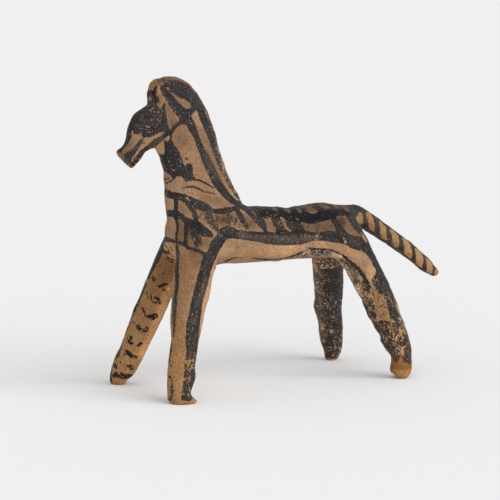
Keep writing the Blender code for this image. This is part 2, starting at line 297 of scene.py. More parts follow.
MARKS: tuple[Mark, ...] = (
    Patch("mane", Layer.SLIP, BODY, 0.12, (
        (157, 79), (158, 66), (178, 62), (200, 74), (216, 95), (226, 125), (234, 150), (244, 175),
        (256, 198), (256, 212), (240, 208.5), (236, 207), (233, 204.5), (226, 199.5), (219, 192.5),
        (213, 184.5), (208, 174.5), (205, 167.5), (201.5, 159.5), (199, 151.5), (196, 145), (193, 137),
        (189, 130), (186.5, 125.6), (182.8, 123.6), (179.5, 121.2), (178.5, 118), (174, 112),
        (169, 105.5), (166.5, 101), (164.9, 98.4), (163.2, 95.2), (161.8, 91.8), (160.3, 88.6),
        (160.4, 85.4), (158.6, 83),
    )),
    Stroke("sliver", Layer.BARE, BODY, 0, (
        (167.4, 88.2, 2), (168.6, 88.8, 1.8), (170.6, 91.2, 1), (173.6, 94.6, 2), (178, 98.6, 4),
        (183, 102, 5.6), (187.4, 105.6, 7.2),
    )),
    Patch("neck_stripe", Layer.BARE, BODY, 0, (
        (191.3, 115.6), (196.2, 110.4), (198.3, 114), (200, 119.5), (203, 127), (206, 133), (209, 140),
        (212, 149.5), (216, 160), (219, 168), (221.5, 172.5), (226, 180), (229, 186), (232.3, 191.5),
        (236, 197), (240.5, 201.3), (236, 199.8), (232, 196.2), (228, 190.5), (223.5, 184), (219, 177),
        (216, 170), (213, 163), (210, 157), (206, 151), (203, 146), (200, 138.5), (196.5, 128.5),
        (194.5, 122),
    )),
    Stroke("strap", Layer.SLIP, BODY, 0.1, (
        (183, 121, 6), (179.5, 123.2, 4.4), (176, 126, 3.6), (172.5, 129.8, 4.4), (169.5, 132.6, 6),
        (166.5, 134.5, 6.5),
    )),
    Patch("mask", Layer.SLIP, BODY, 0.22, (
        (147, 99), (138, 100), (126, 110), (118, 126), (116, 140), (110, 149), (117, 151), (120.6, 152.6),
        (124, 148.4), (127, 144.6), (129.8, 140.6), (131.2, 137), (131.6, 133), (132.2, 129.5),
        (133.4, 131.8), (134.4, 133.8), (138, 133.6), (141, 133.8), (142.2, 136), (142.6, 138.6),
        (145, 137.3), (150, 136.8), (154, 135.6), (158, 133.6), (161, 132.2), (164, 131.4), (170, 131.5),
        (168.6, 127.5), (167.4, 121), (166.2, 114), (165.2, 106), (165.4, 102), (163, 104.5), (161, 108),
        (157.5, 106), (152, 104),
    )),
    Patch("ear_hollow", Layer.SLIP, BODY, 0.28, (
        (143, 91), (150, 90.3), (152.6, 90.4), (153, 87), (154.4, 85.2), (156.4, 86), (156.4, 88.6),
        (155, 90.6), (155.4, 94), (155.4, 97), (156.6, 96.4), (158, 96.6), (158.9, 99.5), (158.2, 102.6),
        (157, 104.6), (158, 107.5), (150, 106), (143, 102),
    )),
    Stroke("ear_chip", Layer.BARE, BODY, 0, ((154.2, 93.2, 1), (154.6, 94.6, 1))),
    Stroke("ear_chip_low", Layer.BARE, BODY, 0, (
        (152.4, 106.4, 1), (153.4, 108.4, 1.4), (154.6, 108.6, 1),
    )),
    Stroke("nose_middle", Layer.SLIP, BODY, 0.12, (
        (142.4, 139.4, 2.6), (140, 142.6, 4.2), (136.4, 147.6, 4.8), (132.4, 152.6, 6.2),
        (128.6, 156.4, 8.4), (127.4, 159.6, 7), (127.8, 162.6, 3),
    )),
    Stroke("mask_chip_a", Layer.BARE, BODY, 0, (
        (146.2, 124.6, 0.9), (148.6, 127.4, 1.3), (150.6, 126, 0.8),
    )),
    Stroke("mask_chip_b", Layer.BARE, BODY, 0, ((151, 119.4, 0.9), (153.2, 120.6, 1.2))),
    Stroke("mask_chip_c", Layer.BARE, BODY, 0, ((145, 131, 0.8), (148.4, 132.6, 1), (151.6, 131.6, 0.6))),
    Stroke("mask_chip_d", Layer.BARE, BODY, 0, ((156.8, 112, 0.9), (159.2, 113.4, 1.1))),
    Stroke("mask_chip_e", Layer.BARE, BODY, 0, ((158.4, 108.2, 1.1), (161.2, 109.8, 1.3))),
    Stroke("mask_chip_f", Layer.BARE, BODY, 0, ((154, 103.2, 1.4), (155, 106.4, 0.9))),
    Stroke("mask_chip_g", Layer.BARE, BODY, 0, ((158, 126, 0.7), (160.4, 127, 0.9))),
    Stroke("mask_chip_h", Layer.BARE, BODY, 0, ((141.8, 118, 0.8), (143.2, 116.4, 0.7))),
    Stroke("mask_chip_i", Layer.BARE, BODY, 0, ((149, 111, 0.8), (152, 109, 1))),
    Stroke("mask_chip_j", Layer.BARE, BODY, 0, ((139.6, 127.4, 0.8), (141, 129, 0.6))),
    Stroke("nose_dot", Layer.SLIP, BODY, 0, ((143.3, 142.4, 1), (143.6, 143.8, 1.5))),
    Patch("jaw", Layer.SLIP, BODY, 0.12, (
        (170, 130), (166, 132.2), (163.6, 134), (160, 136.6), (156, 138.3), (152, 141), (148, 144.6),
        (143, 148.6), (139.4, 151.8), (136, 156), (132.6, 160.6), (129.8, 164.2), (130.5, 166.5),
        (133.4, 165.8), (135.4, 165.5), (139.4, 161.5), (143.6, 155.5), (147.6, 151.2), (150.4, 148.4),
        (154, 147.4), (158, 145), (162, 141.2), (165.2, 138.8), (167, 136.5), (170.5, 134.6),
        (172.4, 132.6),
    )),
    Patch("cheek_dot", Layer.BARE, BODY, 0, (
        (165.8, 139.2), (167.2, 136.5), (169.4, 135.6), (170.3, 137), (169.8, 139.6), (168.2, 141.2),
        (166.4, 140.8),
    )),
    Patch("throat", Layer.SLIP, BODY, 0.13, (
        (164.6, 140.6), (168, 141.4), (171.2, 134.4), (172, 140), (174, 144), (178, 149.5), (180.6, 155),
        (181.8, 158.8), (183, 162), (185, 165.8), (186.5, 164.2), (188.2, 163.4), (191, 164),
        (192.6, 166), (193, 170), (193.6, 175), (195.2, 178.4), (191.5, 180), (188.6, 181.2),
        (187, 182.4), (184.6, 180.4), (182.6, 177.6), (180, 176.1), (177, 175.8), (175, 177), (173, 179),
        (171, 176.6), (167, 173), (163, 170.2), (156, 172), (150, 158), (156.5, 153.6), (164, 154.2),
        (164.2, 147),
    )),
    Stroke("throat_scratch", Layer.BARE, BODY, 0, (
        (167.2, 157.4, 1), (168, 160, 1.2), (169.8, 162.8, 0.8),
    )),
    Stroke("throat_chip", Layer.BARE, BODY, 0, ((172.2, 169.2, 1.6), (173.6, 170.6, 1.8))),
    Stroke("loop_upper", Layer.SLIP, BODY, 0.2, (
        (163, 180.2, 1.6), (166.5, 178.8, 1.8), (170, 178.2, 1.5),
    )),
    Stroke("loop_lower", Layer.SLIP, BODY, 0.1, (
        (164, 185, 1.2), (166, 183.6, 1.6), (168.5, 181.8, 2), (171, 181.3, 1.6), (173, 179.4, 1.6),
        (175.2, 177, 1.6),
    )),
    Stroke("panel_spot", Layer.SLIP, BODY, 0.3, ((186.3, 158.6, 2.4), (187, 159.2, 1.4))),
    Stroke("lens_upper", Layer.SLIP, BODY, 0.05, (
        (190, 179.5, 1.8), (196, 179.6, 2.2), (201, 180.9, 2.4), (205.5, 183.2, 1.9), (210.5, 186.2, 1.6),
        (215, 188.6, 0.7),
    )),
    Stroke("lens_lower", Layer.SLIP, BODY, 0.05, (
        (181, 188.4, 0.7), (184.5, 187.6, 1.6), (189, 186.8, 2.2), (194, 187, 2), (199, 188.9, 2),
        (204, 191.2, 1.7), (209, 192.6, 1.3), (213, 193.2, 1.5), (217, 194.6, 0.8),
    )),
    Stroke("lens_chip", Layer.BARE, BODY, 0, ((195.4, 189.4, 3), (196.4, 190.8, 2.6))),
    Stroke("collar_one", Layer.SLIP, BODY, 0.18, (
        (158, 188.5, 5), (164.5, 191.2, 5.8), (170, 194.8, 6.8), (176, 196.2, 7), (182, 197.4, 7.8),
        (188, 200.4, 9.4), (194, 203.6, 10.4), (200, 205.4, 10), (206, 208, 8.4), (212, 210.2, 4.6),
        (218, 211.3, 5.4), (224, 210.8, 6.6), (230, 209.8, 5.6), (236, 208.3, 3.8), (241, 207, 4),
    )),
    Stroke("collar_gap", Layer.BARE, BODY, 0, (
        (184.6, 196.6, 0.8), (187.4, 198.8, 2.2), (189.4, 200.8, 1.2),
    )),
    Stroke("collar_two", Layer.SLIP, BODY, 0.18, (
        (160, 213, 6), (166, 213.2, 6.2), (172, 213.4, 7), (178, 214.5, 6.4), (184, 218.8, 5.8),
        (190, 222.2, 6.4), (196, 226.4, 10.6), (202, 230.2, 10.4), (208, 233.2, 7.6), (212.4, 236, 3),
    )),
    Stroke("collar_three", Layer.SLIP, CHEST, 0.16, (
        (158, 238, 6), (163, 239, 6), (168, 239.6, 4.8), (173, 241, 3.8), (178, 242.4, 3),
        (183, 243.8, 3), (188, 247.6, 3.6), (194, 249.4, 3), (200, 251.4, 3.6), (205, 255, 4.2),
        (208, 258, 4),
    )),
    Stroke("bar_first", Layer.SLIP, BODY, 0.1, (
        (176, 199, 4.4), (175.8, 208, 4.2), (175.4, 215, 5), (176.6, 221, 3.4), (177.6, 226, 2.8),
        (176.8, 236, 2.6), (176.6, 243, 2.4),
    )),
    Stroke("bar_second", Layer.SLIP, BODY, 0.2, (
        (184.5, 198.5, 3), (188.4, 203.6, 5), (192.4, 209.4, 5.2), (195, 215.5, 5), (196, 222, 5.5),
    )),
    Stroke("bar_third", Layer.SLIP, BODY, 0.26, (
        (208.6, 211, 5), (209.4, 217, 6), (211.4, 222.6, 6), (214.6, 227, 4.6), (218.5, 231, 2.6),
    )),
    Stroke("bar_fourth", Layer.SLIP, BODY, 0.3, ((228.4, 213, 2.6), (228.6, 219, 2.2), (229, 226, 2.6))),
    Stroke("bar_fifth", Layer.SLIP, BODY, 0.25, (
        (235.5, 208.5, 4), (239, 213.5, 5), (242, 219, 5.4), (243.6, 222, 4),
    )),
    Stroke("bar_spot", Layer.SLIP, BODY, 0.35, ((246.6, 225, 4.4), (247, 227.4, 4))),
    Stroke("bar_hook", Layer.SLIP, BODY, 0.3, ((236.4, 219.6, 1.4), (235.6, 223, 1.8), (234, 225.4, 1))),
    Stroke("breast_crack", Layer.SLIP, FAR_SHOULDER, 0.2, (
        (163.5, 243, 0.8), (166, 246.5, 1.1), (168.4, 250, 0.9), (169.6, 254, 1), (172.6, 256.5, 0.7),
    )),
    Stroke("breast_crack_two", Layer.SLIP, FAR_SHOULDER, 0.2, (
        (170.6, 246.4, 0.7), (172, 249.4, 1), (174.4, 251, 0.7),
    )),
    Stroke("breast_crack_three", Layer.SLIP, FAR_SHOULDER, 0.3, (
        (166.4, 256, 0.8), (170, 258.6, 1.1), (174, 260.4, 1),
    )),
    Patch("breast_smear", Layer.SLIP, BODY, 0.6, (
        (190, 226), (196, 229), (203, 233), (202.6, 236), (200, 239.6), (199.6, 245), (196.4, 247),
        (194, 241), (190.6, 236), (189, 231),
    )),
    Stroke("bar_low", Layer.SLIP, BODY, 0.1, (
        (185.8, 219, 3), (186, 226, 4), (186, 236, 4), (186.4, 244, 4), (187.4, 248, 3),
    )),
    Stroke("shin_line", Layer.SLIP, NEAR_SHOULDER, 0.14, (
        (176.8, 246, 2.8), (177.8, 253, 3.2), (177.4, 262, 3.4), (176.8, 270, 4.2), (177.2, 279, 3.8),
        (176.6, 290, 3.4), (175.2, 300, 4), (174.4, 310, 4), (174, 320, 3.4), (174.2, 328, 2),
        (173.6, 337, 1.4),
    )),
    Patch("foreleg_band", Layer.SLIP, NEAR_SHOULDER, 0.16, (
        (220.5, 229.5), (216, 236.2), (211, 242), (208.4, 249), (205, 255), (201.5, 261), (200, 268),
        (198, 275), (196, 282), (194, 290), (192, 298), (190.5, 306), (189, 314), (187, 321),
        (186.3, 328), (186, 335), (185.6, 345), (186.4, 350), (186.2, 356), (184.6, 364), (184, 371),
        (183.6, 380), (183, 388), (182, 394), (181.2, 400.4), (191.8, 400.4), (192.6, 396), (195.6, 388),
        (198, 380), (198.4, 370), (198.2, 362), (198, 352), (198.2, 345), (198.8, 338), (199.5, 330),
        (200.4, 321), (201, 315), (202, 307), (203.2, 300), (205.5, 292), (207.5, 285), (209.5, 277),
        (211.5, 270), (213.6, 264), (216.5, 257), (220, 250), (224, 243.5), (228, 237.5), (231, 231),
        (226, 228),
    )),
    Stroke("foreleg_streak", Layer.BARE, NEAR_FORE, 0, (
        (190.6, 354, 0.6), (190.2, 360, 1.4), (189.6, 368, 1), (190.4, 376, 1.1), (189, 384, 0.8),
        (190, 391, 1),
    )),
    Stroke("foreleg_streak_two", Layer.BARE, NEAR_FORE, 0, (
        (193.2, 358, 1), (192.4, 364, 1), (191.8, 369, 0.5),
    )),
    Stroke("foreleg_streak_three", Layer.BARE, NEAR_FORE, 0, (
        (187.2, 362, 0.5), (186.8, 370, 0.8), (186.2, 378, 0.5),
    )),
    Stroke("toe_edge_upper", Layer.SLIP, NEAR_FORE, 0.3, (
        (170.6, 343, 1.6), (170.8, 349, 2), (169.8, 356, 1.4), (169.4, 362, 0.8),
    )),
    Stroke("toe_edge_spot", Layer.SLIP, NEAR_FORE, 0.25, ((170.9, 365, 1.6), (171.3, 366, 1.2))),
    Stroke("toe_edge_middle", Layer.SLIP, NEAR_FORE, 0.2, ((169.6, 377, 2), (171, 378, 1.4))),
    Stroke("toe_edge_lower", Layer.SLIP, NEAR_FORE, 0.35, (
        (172, 380, 2), (172.2, 385, 2.4), (171.8, 391, 2.6), (171.4, 396, 1.4), (170, 400, 2.4),
    )),
    Stroke("toe_spot", Layer.SLIP, NEAR_FORE, 0.1, ((180.4, 393, 1.5), (180.6, 393.8, 1.1))),
    Stroke("lip_edge", Layer.SLIP, FAR_SHOULDER, 0.1, (
        (165.6, 226, 1), (163, 236, 2), (161.6, 246, 3.4), (160.5, 251, 5), (157.5, 258, 5.4),
        (153.5, 266, 4.4), (149.6, 274, 3.2), (145.6, 283.5, 2.6), (141.4, 294, 2.4), (137.8, 303, 3.2),
        (135.2, 309, 3.2), (133.8, 313, 2), (131, 320, 1), (128, 328, 1.8), (126, 333, 1),
    )),
    Stroke("lip_spot", Layer.SLIP, FAR_SHOULDER, 0.3, ((164.4, 251.8, 3.6), (167.6, 252.8, 2.6))),
    Stroke("lip_crumb", Layer.SLIP, FAR_SHOULDER, 0.3, ((164.6, 258.6, 1.2), (168.5, 258.4, 1.4))),
    Stroke("lip_crumb_two", Layer.SLIP, FAR_SHOULDER, 0.3, ((170.8, 261.4, 2), (172.8, 262, 1.8))),
    Stroke("lip_crumb_three", Layer.SLIP, FAR_SHOULDER, 0.2, ((159.6, 265, 1.2), (160.2, 266.4, 1))),
    Stroke("dab_dot", Layer.SLIP, FAR_FORE, 0, ((163.1, 273.8, 2.2), (163.4, 274.4, 2))),
    Stroke("dab_a", Layer.SLIP, FAR_FORE, 0.1, (
        (152.6, 276.6, 1.6), (153.6, 279, 3), (155.4, 280, 1.4), (153.8, 282, 0.8),
    )),
    Stroke("dab_b", Layer.SLIP, FAR_FORE, 0.1, (
        (158.6, 286.4, 2.4), (161, 286.2, 2.4), (163.6, 284.6, 2.2), (166.2, 284.2, 3), (166.8, 283, 1.2),
    )),
    Stroke("dab_c", Layer.SLIP, FAR_FORE, 0.5, (
        (162.2, 289.8, 1.4), (167, 289.4, 1.4), (170.2, 287.6, 1.8),
    )),
    Stroke("dab_d", Layer.SLIP, FAR_FORE, 0.45, ((145.8, 291, 2), (147, 294, 1.2), (148, 297.5, 1.4))),
    Stroke("dab_e", Layer.SLIP, FAR_FORE, 0.05, (
        (150.6, 294, 0.8), (151.2, 298.5, 1.4), (152.6, 301.8, 1.4), (156, 302.2, 1.6),
        (159.8, 303.4, 1.8),
    )),
    Stroke("dab_f", Layer.SLIP, FAR_FORE, 0.05, (
        (155, 298, 1.6), (156.8, 297.6, 3.2), (158.6, 300, 2.8), (160.8, 301.6, 2.2),
    )),
    Stroke("dab_g", Layer.SLIP, FAR_FORE, 0.05, (
        (142, 307.4, 1.2), (144, 311, 2.4), (145.2, 315, 1.4), (146.8, 317, 2), (149, 316.2, 3),
        (152.4, 317, 5), (155.2, 316, 5.4),
    )),
    Stroke("dab_h", Layer.SLIP, FAR_FORE, 0.1, ((133.4, 321.6, 2.2), (134, 323.4, 1.6))),
    Stroke("dab_i", Layer.SLIP, FAR_FORE, 0.15, (
        (136.6, 325.6, 2.6), (139, 328, 3.6), (143, 330.4, 3.4), (148, 331.6, 0.8),
    )),
    Stroke("dab_j", Layer.SLIP, FAR_FORE, 0.15, ((139.4, 322.8, 1.6), (140.4, 324.4, 2.2))),
    Stroke("dab_k", Layer.SLIP, FAR_FORE, 0.15, ((146.4, 326.8, 1.8), (147.8, 328.4, 2.6))),
    Stroke("dab_l", Layer.SLIP, FAR_FORE, 0.35, ((125.4, 335.6, 2), (126.6, 337.4, 2.2))),
    Stroke("dab_m", Layer.SLIP, FAR_FORE, 0.1, (
        (129.4, 335.6, 1.2), (131.6, 338.6, 2.4), (128.6, 341.6, 2.2), (131, 343.4, 3),
        (133.4, 343.8, 1.4),
    )),
    Stroke("dab_n", Layer.SLIP, FAR_FORE, 0.1, (
        (136.6, 346, 1), (139, 345, 2.4), (141, 343, 2.4), (142.8, 343.4, 1),
    )),
    Stroke("dab_o", Layer.SLIP, FAR_FORE, 0.1, (
        (124, 355.4, 1.4), (124.6, 353, 1), (126.6, 351, 3), (129.4, 354, 4.4), (132.4, 356.6, 3.6),
        (138, 357.4, 1.8),
    )),
    Stroke("dab_p", Layer.SLIP, FAR_FORE, 0.2, ((114, 364.4, 1.8), (115.8, 366.4, 3), (116.4, 369, 1.2))),
    Stroke("dab_q", Layer.SLIP, FAR_FORE, 0.4, (
        (118.4, 363.4, 1.6), (122, 361.4, 1.4), (125.6, 363.6, 2),
    )),
    Stroke("dab_r", Layer.SLIP, FAR_FORE, 0.15, (
        (127, 366.6, 2.2), (129, 366, 3), (132, 366.4, 2.8), (131.6, 369.2, 2.4), (133.6, 368.4, 1.4),
    )),
    Stroke("dab_s", Layer.SLIP, FAR_FORE, 0.1, (
        (113.4, 375.6, 2.8), (117, 374.8, 6), (121, 375.4, 6.4), (124.6, 376.6, 5.4), (128.6, 376, 5),
        (132.6, 376, 3),
    )),
    Stroke("lip_low", Layer.SLIP, FAR_FORE, 0.15, (
        (121.4, 344, 1.2), (119.4, 351, 2.2), (117, 357, 3), (114.6, 360, 1.6),
    )),
    Stroke("lip_lowest", Layer.SLIP, FAR_FORE, 0.1, (
        (110.8, 370, 1.6), (110.4, 376, 3), (110.6, 381.6, 3.4),
    )),
    Stroke("lip_under", Layer.SLIP, FAR_FORE, 0.2, (
        (124.6, 384, 0.8), (128, 382.4, 1.4), (131.4, 379.6, 1.4),
    )),
    Patch("flank_band", Layer.SLIP, NEAR_HAUNCH, 0.2, (
        (220, 230), (223, 227.4), (227, 226.2), (232, 226.6), (236, 228.6), (241, 230.2), (250, 231.4),
        (260, 232), (270, 232), (282, 232), (293, 231.4), (300, 231), (310, 231.6), (320, 232),
        (330, 230.6), (335.6, 230.8), (334.4, 227.6), (332.4, 223), (330.8, 219.2), (335.6, 217.8),
        (338.2, 220.6), (341.2, 224.6), (344.4, 228.8), (346.6, 232.4), (350, 234.4), (356, 236.2),
        (360, 236.6), (364, 240), (370, 241), (381, 262), (390, 280), (396, 292), (394, 297), (388, 290),
        (384, 286), (380, 283), (376, 281), (372.4, 279.6), (375, 274.5), (375.8, 270), (373.2, 265.6),
        (371.4, 261), (368, 256.4), (365, 253), (360, 250.4), (354, 249.2), (348, 246.2), (344, 244),
        (338, 243), (330, 242), (324, 241), (318, 240.2), (312, 241), (306, 243), (300, 244.2),
        (290, 245.2), (280, 245.2), (270, 244.4), (263, 243), (258, 241.6), (250, 241), (240, 239.4),
        (232, 238.4), (226, 238),
    )),
    Stroke("flank_scrape", Layer.BARE, BODY, 0, (
        (317.6, 234.6, 0.6), (320, 236.4, 1.2), (323, 237.6, 1.4),
    )),
    Stroke("flank_tick", Layer.BARE, BODY, 0, (
        (343.4, 237.4, 1.4), (344.8, 239.6, 1.8), (345.6, 243, 1.8),
    )),
    Patch("spine", Layer.SLIP, BODY, 0.14, (
        (236, 206.6), (240, 200.5), (243, 196), (290, 198), (340, 194), (366, 196), (380, 214),
        (366, 230), (362, 232.5), (358, 231.6), (354.4, 228.4), (350.6, 224), (347.6, 219), (345.4, 216),
        (341, 215.8), (337, 216.4), (335.4, 217.6), (333.6, 218), (331, 219.2), (325, 220.8),
        (318, 222.2), (314, 223.4), (310, 223.6), (305, 223.2), (300.4, 221.8), (302.4, 226),
        (304.4, 229.8), (306, 231.6), (295.4, 231.6), (291.6, 230.2), (288.6, 228), (286.6, 224.6),
        (285.2, 221), (283.4, 217.8), (280.8, 216.6), (280, 218.6), (281.6, 222), (284, 226),
        (286, 229.8), (289, 231.8), (277.4, 231.4), (275.6, 228), (273.4, 224.6), (272.2, 220.6),
        (271, 217.4), (267.6, 218.4), (265.6, 219.6), (266.4, 225), (267.2, 231.6), (263.6, 231.4),
        (260.4, 227.6), (257.4, 224.8), (254.2, 222.4), (250, 217.4), (245, 211.6), (241, 209.4),
    )),
    Stroke("spine_nick", Layer.BARE, BODY, 0, (
        (252.6, 211.6, 1.2), (254.6, 214.2, 1.6), (256.6, 217.2, 0.8),
    )),
    Stroke("spine_nick_two", Layer.BARE, BODY, 0, ((278.4, 224.6, 1.3), (278.9, 225, 1.1))),
    Patch("rung_a", Layer.BARE, BODY, 0, (
        (271.2, 207), (275.6, 207.6), (278.2, 210.6), (275.4, 210.4), (272.8, 209.4),
    )),
    Patch("rung_b", Layer.BARE, BODY, 0, (
        (283.6, 208), (288, 208.4), (291.2, 211.6), (290.6, 213), (287.4, 211.8), (285, 210.2),
    )),
    Patch("rung_c", Layer.BARE, BODY, 0, (
        (295.8, 208.4), (299.6, 208.2), (301.6, 211), (302.4, 213.2), (299.6, 213), (297.4, 211.2),
    )),
    Stroke("rung_c_top", Layer.BARE, BODY, 0, ((299, 206.8, 1), (302.4, 206.6, 1.6), (305, 206.4, 1))),
    Patch("rung_d", Layer.BARE, BODY, 0, (
        (304.8, 206), (310, 204.8), (313, 207.6), (317.6, 210.8), (315.8, 212.8), (311.6, 213.4),
        (308.2, 211.6), (305.6, 208.6),
    )),
    Patch("rung_e", Layer.BARE, BODY, 0, (
        (318.6, 204.2), (322.6, 203), (327, 205.8), (331, 208.8), (328, 209.2), (323.4, 208.8),
        (320.8, 206.8),
    )),
    Patch("rung_f", Layer.BARE, BODY, 0, (
        (330.4, 203), (334.6, 204.6), (338, 206.4), (341.4, 208.4), (337, 208.6), (333.8, 206.8),
    )),
    Patch("rung_g", Layer.BARE, BODY, 0, (
        (340.6, 204), (344.8, 204.6), (348.2, 207.4), (351, 211), (350.8, 213.4), (347.4, 211.8),
        (343.8, 208.4), (341.4, 206),
    )),
    Patch("rung_h", Layer.BARE, BODY, 0, (
        (348.8, 215.4), (350.8, 216.2), (352.6, 219.6), (352.2, 221.4), (350, 218.8),
    )),
    Stroke("window_bar", Layer.SLIP, BODY, 0.55, (
        (316.6, 222.6, 3.4), (317.6, 226, 4), (317.4, 231, 3.4),
    )),
    Stroke("croup_line", Layer.SLIP, BODY, 0.12, (
        (349, 214, 6), (352, 220, 6.6), (357, 226.6, 7), (362, 232.4, 6), (366, 239, 4), (368, 244, 3),
    )),
    Stroke("croup_gap", Layer.BARE, BODY, 0, (
        (360.4, 232.6, 1.4), (363.4, 236.4, 2.2), (366.4, 241.6, 1.6),
    )),
    Stroke("groin_line", Layer.SLIP, NEAR_HAUNCH, 0.2, (
        (306, 247.2, 0.8), (309, 248, 1.4), (316, 248.8, 1.6), (324, 249.4, 2), (331, 250, 1.8),
        (337, 252.4, 1.8), (341, 254.2, 1.2), (344.6, 256.6, 2.2), (349, 260.6, 2.6), (354, 264.8, 3),
        (359, 269.4, 3.2), (363, 274.8, 3.4), (366, 280, 2.6), (368, 283.6, 1),
    )),
    Stroke("belly_edge", Layer.SLIP, BODY, 0.35, (
        (219, 264, 1.4), (225, 262, 1.6), (229, 259.6, 1.6), (233, 258.2, 1.2), (239, 257.4, 0.8),
    )),
    Stroke("belly_edge_two", Layer.SLIP, BODY, 0.3, (
        (241, 257.8, 0.8), (252, 258.6, 1.5), (262, 259.4, 1.7), (272, 259.6, 1.7), (282, 258.8, 1.6),
        (290, 257, 1.6), (297, 254.4, 2), (302, 252.4, 2.6), (308, 253.4, 1.6),
    )),
    Patch("groin_mottle", Layer.SLIP, BODY, 0.62, (
        (294, 259.6), (298.4, 255.4), (302, 252), (306, 249.2), (311, 248.8), (320, 250.2), (328, 251.4),
        (331, 253.6), (330.4, 257.6), (334, 260), (339, 260.6), (344, 263), (346, 270), (330, 272),
        (310, 268),
    )),
    Stroke("groin_blob", Layer.BARE, BODY, 0, (
        (304.6, 251.2, 0.8), (308.4, 252, 2.2), (311.6, 252.8, 1),
    )),
    Stroke("groin_scratch", Layer.BARE, BODY, 0, (
        (313, 256.4, 0.5), (317, 253.8, 0.8), (321, 255.6, 0.6), (325, 253.4, 0.8), (327, 254.6, 0.5),
    )),
    Stroke("groin_scratch_two", Layer.BARE, BODY, 0, (
        (311, 259.6, 0.5), (315, 258, 0.9), (319, 260, 0.6), (323, 258.8, 0.8), (326, 261, 0.5),
    )),
    Patch("thigh_front", Layer.SLIP, NEAR_HAUNCH, 0.74, (
        (341, 258), (346, 259), (352, 264.4), (358, 270), (362.6, 276), (366, 282), (370, 286),
        (373, 292), (374.4, 300), (374.6, 308), (374.4, 316), (376.4, 318), (372, 320), (364, 312),
        (354, 296), (344, 278), (338, 264),
    )),
    Patch("thigh_rear", Layer.SLIP, NEAR_HIND, 0.34, (
        (372.6, 279.4), (372.2, 282.5), (374.6, 286.5), (376.8, 289.6), (380.4, 293.6), (383.4, 297.4),
        (385.6, 301.4), (387.4, 306.6), (389, 312), (390.4, 318.6), (392.5, 320), (396, 318), (404, 316),
        (402, 303), (394, 288), (386, 276), (380, 266), (376, 262), (376, 272),
    )),
    Stroke("hock_line", Layer.BARE, NEAR_HIND, 0, (
        (386.5, 291.5, 0.6), (389, 297, 0.9), (391.6, 303, 0.8), (393.4, 307.4, 0.6),
    )),
    Stroke("thigh_dark", Layer.SLIP, NEAR_HIND, 0.2, (
        (355, 266, 3), (361, 273, 4), (366, 281.6, 4.4), (369.6, 288, 4),
    )),
    Patch("shank_front", Layer.SLIP, NEAR_HIND, 0.42, (
        (357, 288), (362, 290), (367, 296), (372, 297), (374, 303), (374.2, 311), (376.6, 317),
        (371, 318.6), (364, 312), (356, 298),
    )),
    Stroke("hock_streak", Layer.SLIP, NEAR_HIND, 0.1, (
        (383, 290, 1.6), (386.4, 296, 2.4), (388.6, 303, 3), (390.8, 309, 3.6), (391.4, 315, 2),
        (391.2, 318, 0.8),
    )),
    Stroke("hock_streak_two", Layer.SLIP, NEAR_HIND, 0.25, (
        (388, 290, 2.4), (391, 297, 2.6), (394.2, 304, 2.4), (395, 308, 1),
    )),
    Patch("shank_low", Layer.SLIP, NEAR_HIND, 0.56, (
        (372, 321.6), (378, 322.6), (383, 321.6), (388, 321), (391, 319), (393.6, 312), (396, 309),
        (401, 318), (407, 332), (411, 346), (412, 358), (410, 364), (404, 362), (399.6, 359),
        (397.4, 362.4), (394, 361), (388, 352), (381, 342),
    )),
    Stroke("shank_stripe", Layer.BARE, NEAR_HIND, 0, (
        (390.2, 320, 2), (391.2, 326, 1.7), (392.8, 332, 1.4), (394.4, 339, 1.2), (395.4, 345, 1.3),
        (396.8, 352, 0.8), (397.4, 356, 0.6),
    )),
    Stroke("shank_brow", Layer.SLIP, NEAR_HIND, 0.05, (
        (378.4, 322.6, 1), (382, 321, 1.8), (385.6, 321.8, 2.2), (387.4, 324.6, 1.4),
    )),
    Stroke("shank_edge", Layer.SLIP, NEAR_HIND, 0.15, (
        (402, 326, 1), (405.6, 334, 1.6), (408, 341, 1.8), (409.4, 347, 1),
    )),
    Patch("far_hind", Layer.SLIP, FAR_HIND, 0.42, (
        (300, 240), (340, 240), (350, 250), (350, 300), (350, 350), (341, 355.6), (338, 357.8),
        (333, 358.8), (326, 358), (320, 353), (306, 330),
    )),
    Stroke("far_hind_line", Layer.BARE, FAR_HIND, 0, (
        (319.8, 266.2, 1), (322, 267.6, 2), (325, 268, 1.8), (328.4, 266.8, 1),
    )),
    Stroke("far_hind_line_two", Layer.BARE, FAR_HIND, 0, (
        (330, 268.2, 1), (333, 267, 2.2), (336, 265.6, 1.6), (339.4, 264.4, 1),
    )),
    Stroke("far_hind_nick", Layer.BARE, FAR_HIND, 0, ((313.4, 263.6, 1.4), (314.8, 266.6, 1.4))),
    Stroke("far_hind_scrape", Layer.BARE, FAR_HIND, 0, (
        (317, 268.6, 1.2), (318.4, 272, 1.4), (319.4, 274, 0.7),
    )),
    Stroke("far_hind_scrape_two", Layer.BARE, FAR_HIND, 0, (
        (319.4, 318, 0.8), (320.6, 323, 1.6), (321.4, 327, 0.8),
    )),
    Stroke("far_hind_dark", Layer.SLIP, FAR_HIND, 0.16, (
        (339, 272, 4), (338, 285, 8), (337, 300, 9), (338, 318, 8), (339, 335, 6),
    )),
    Patch("tail_coat", Layer.SLIP, TAIL, 0.1, (
        (350, 200), (372, 202), (400, 225), (430, 248), (440, 262), (434.5, 270.6), (433.4, 276),
        (425, 280), (400, 264), (370, 240), (352, 232),
    )),
    Patch("light_a", Layer.BARE, RUMP, 0, (
        (356.5, 219), (357.5, 215.6), (358.8, 212.8), (360.8, 212.2), (362.6, 214.4), (363.2, 219),
        (363.2, 222.6), (361, 224.4), (358.4, 222.4),
    )),
    Patch("light_b", Layer.BARE, RUMP, 0, (
        (366.2, 211.8), (368, 211.8), (370.6, 213.8), (372.4, 217.2), (373.7, 221), (374.7, 225.4),
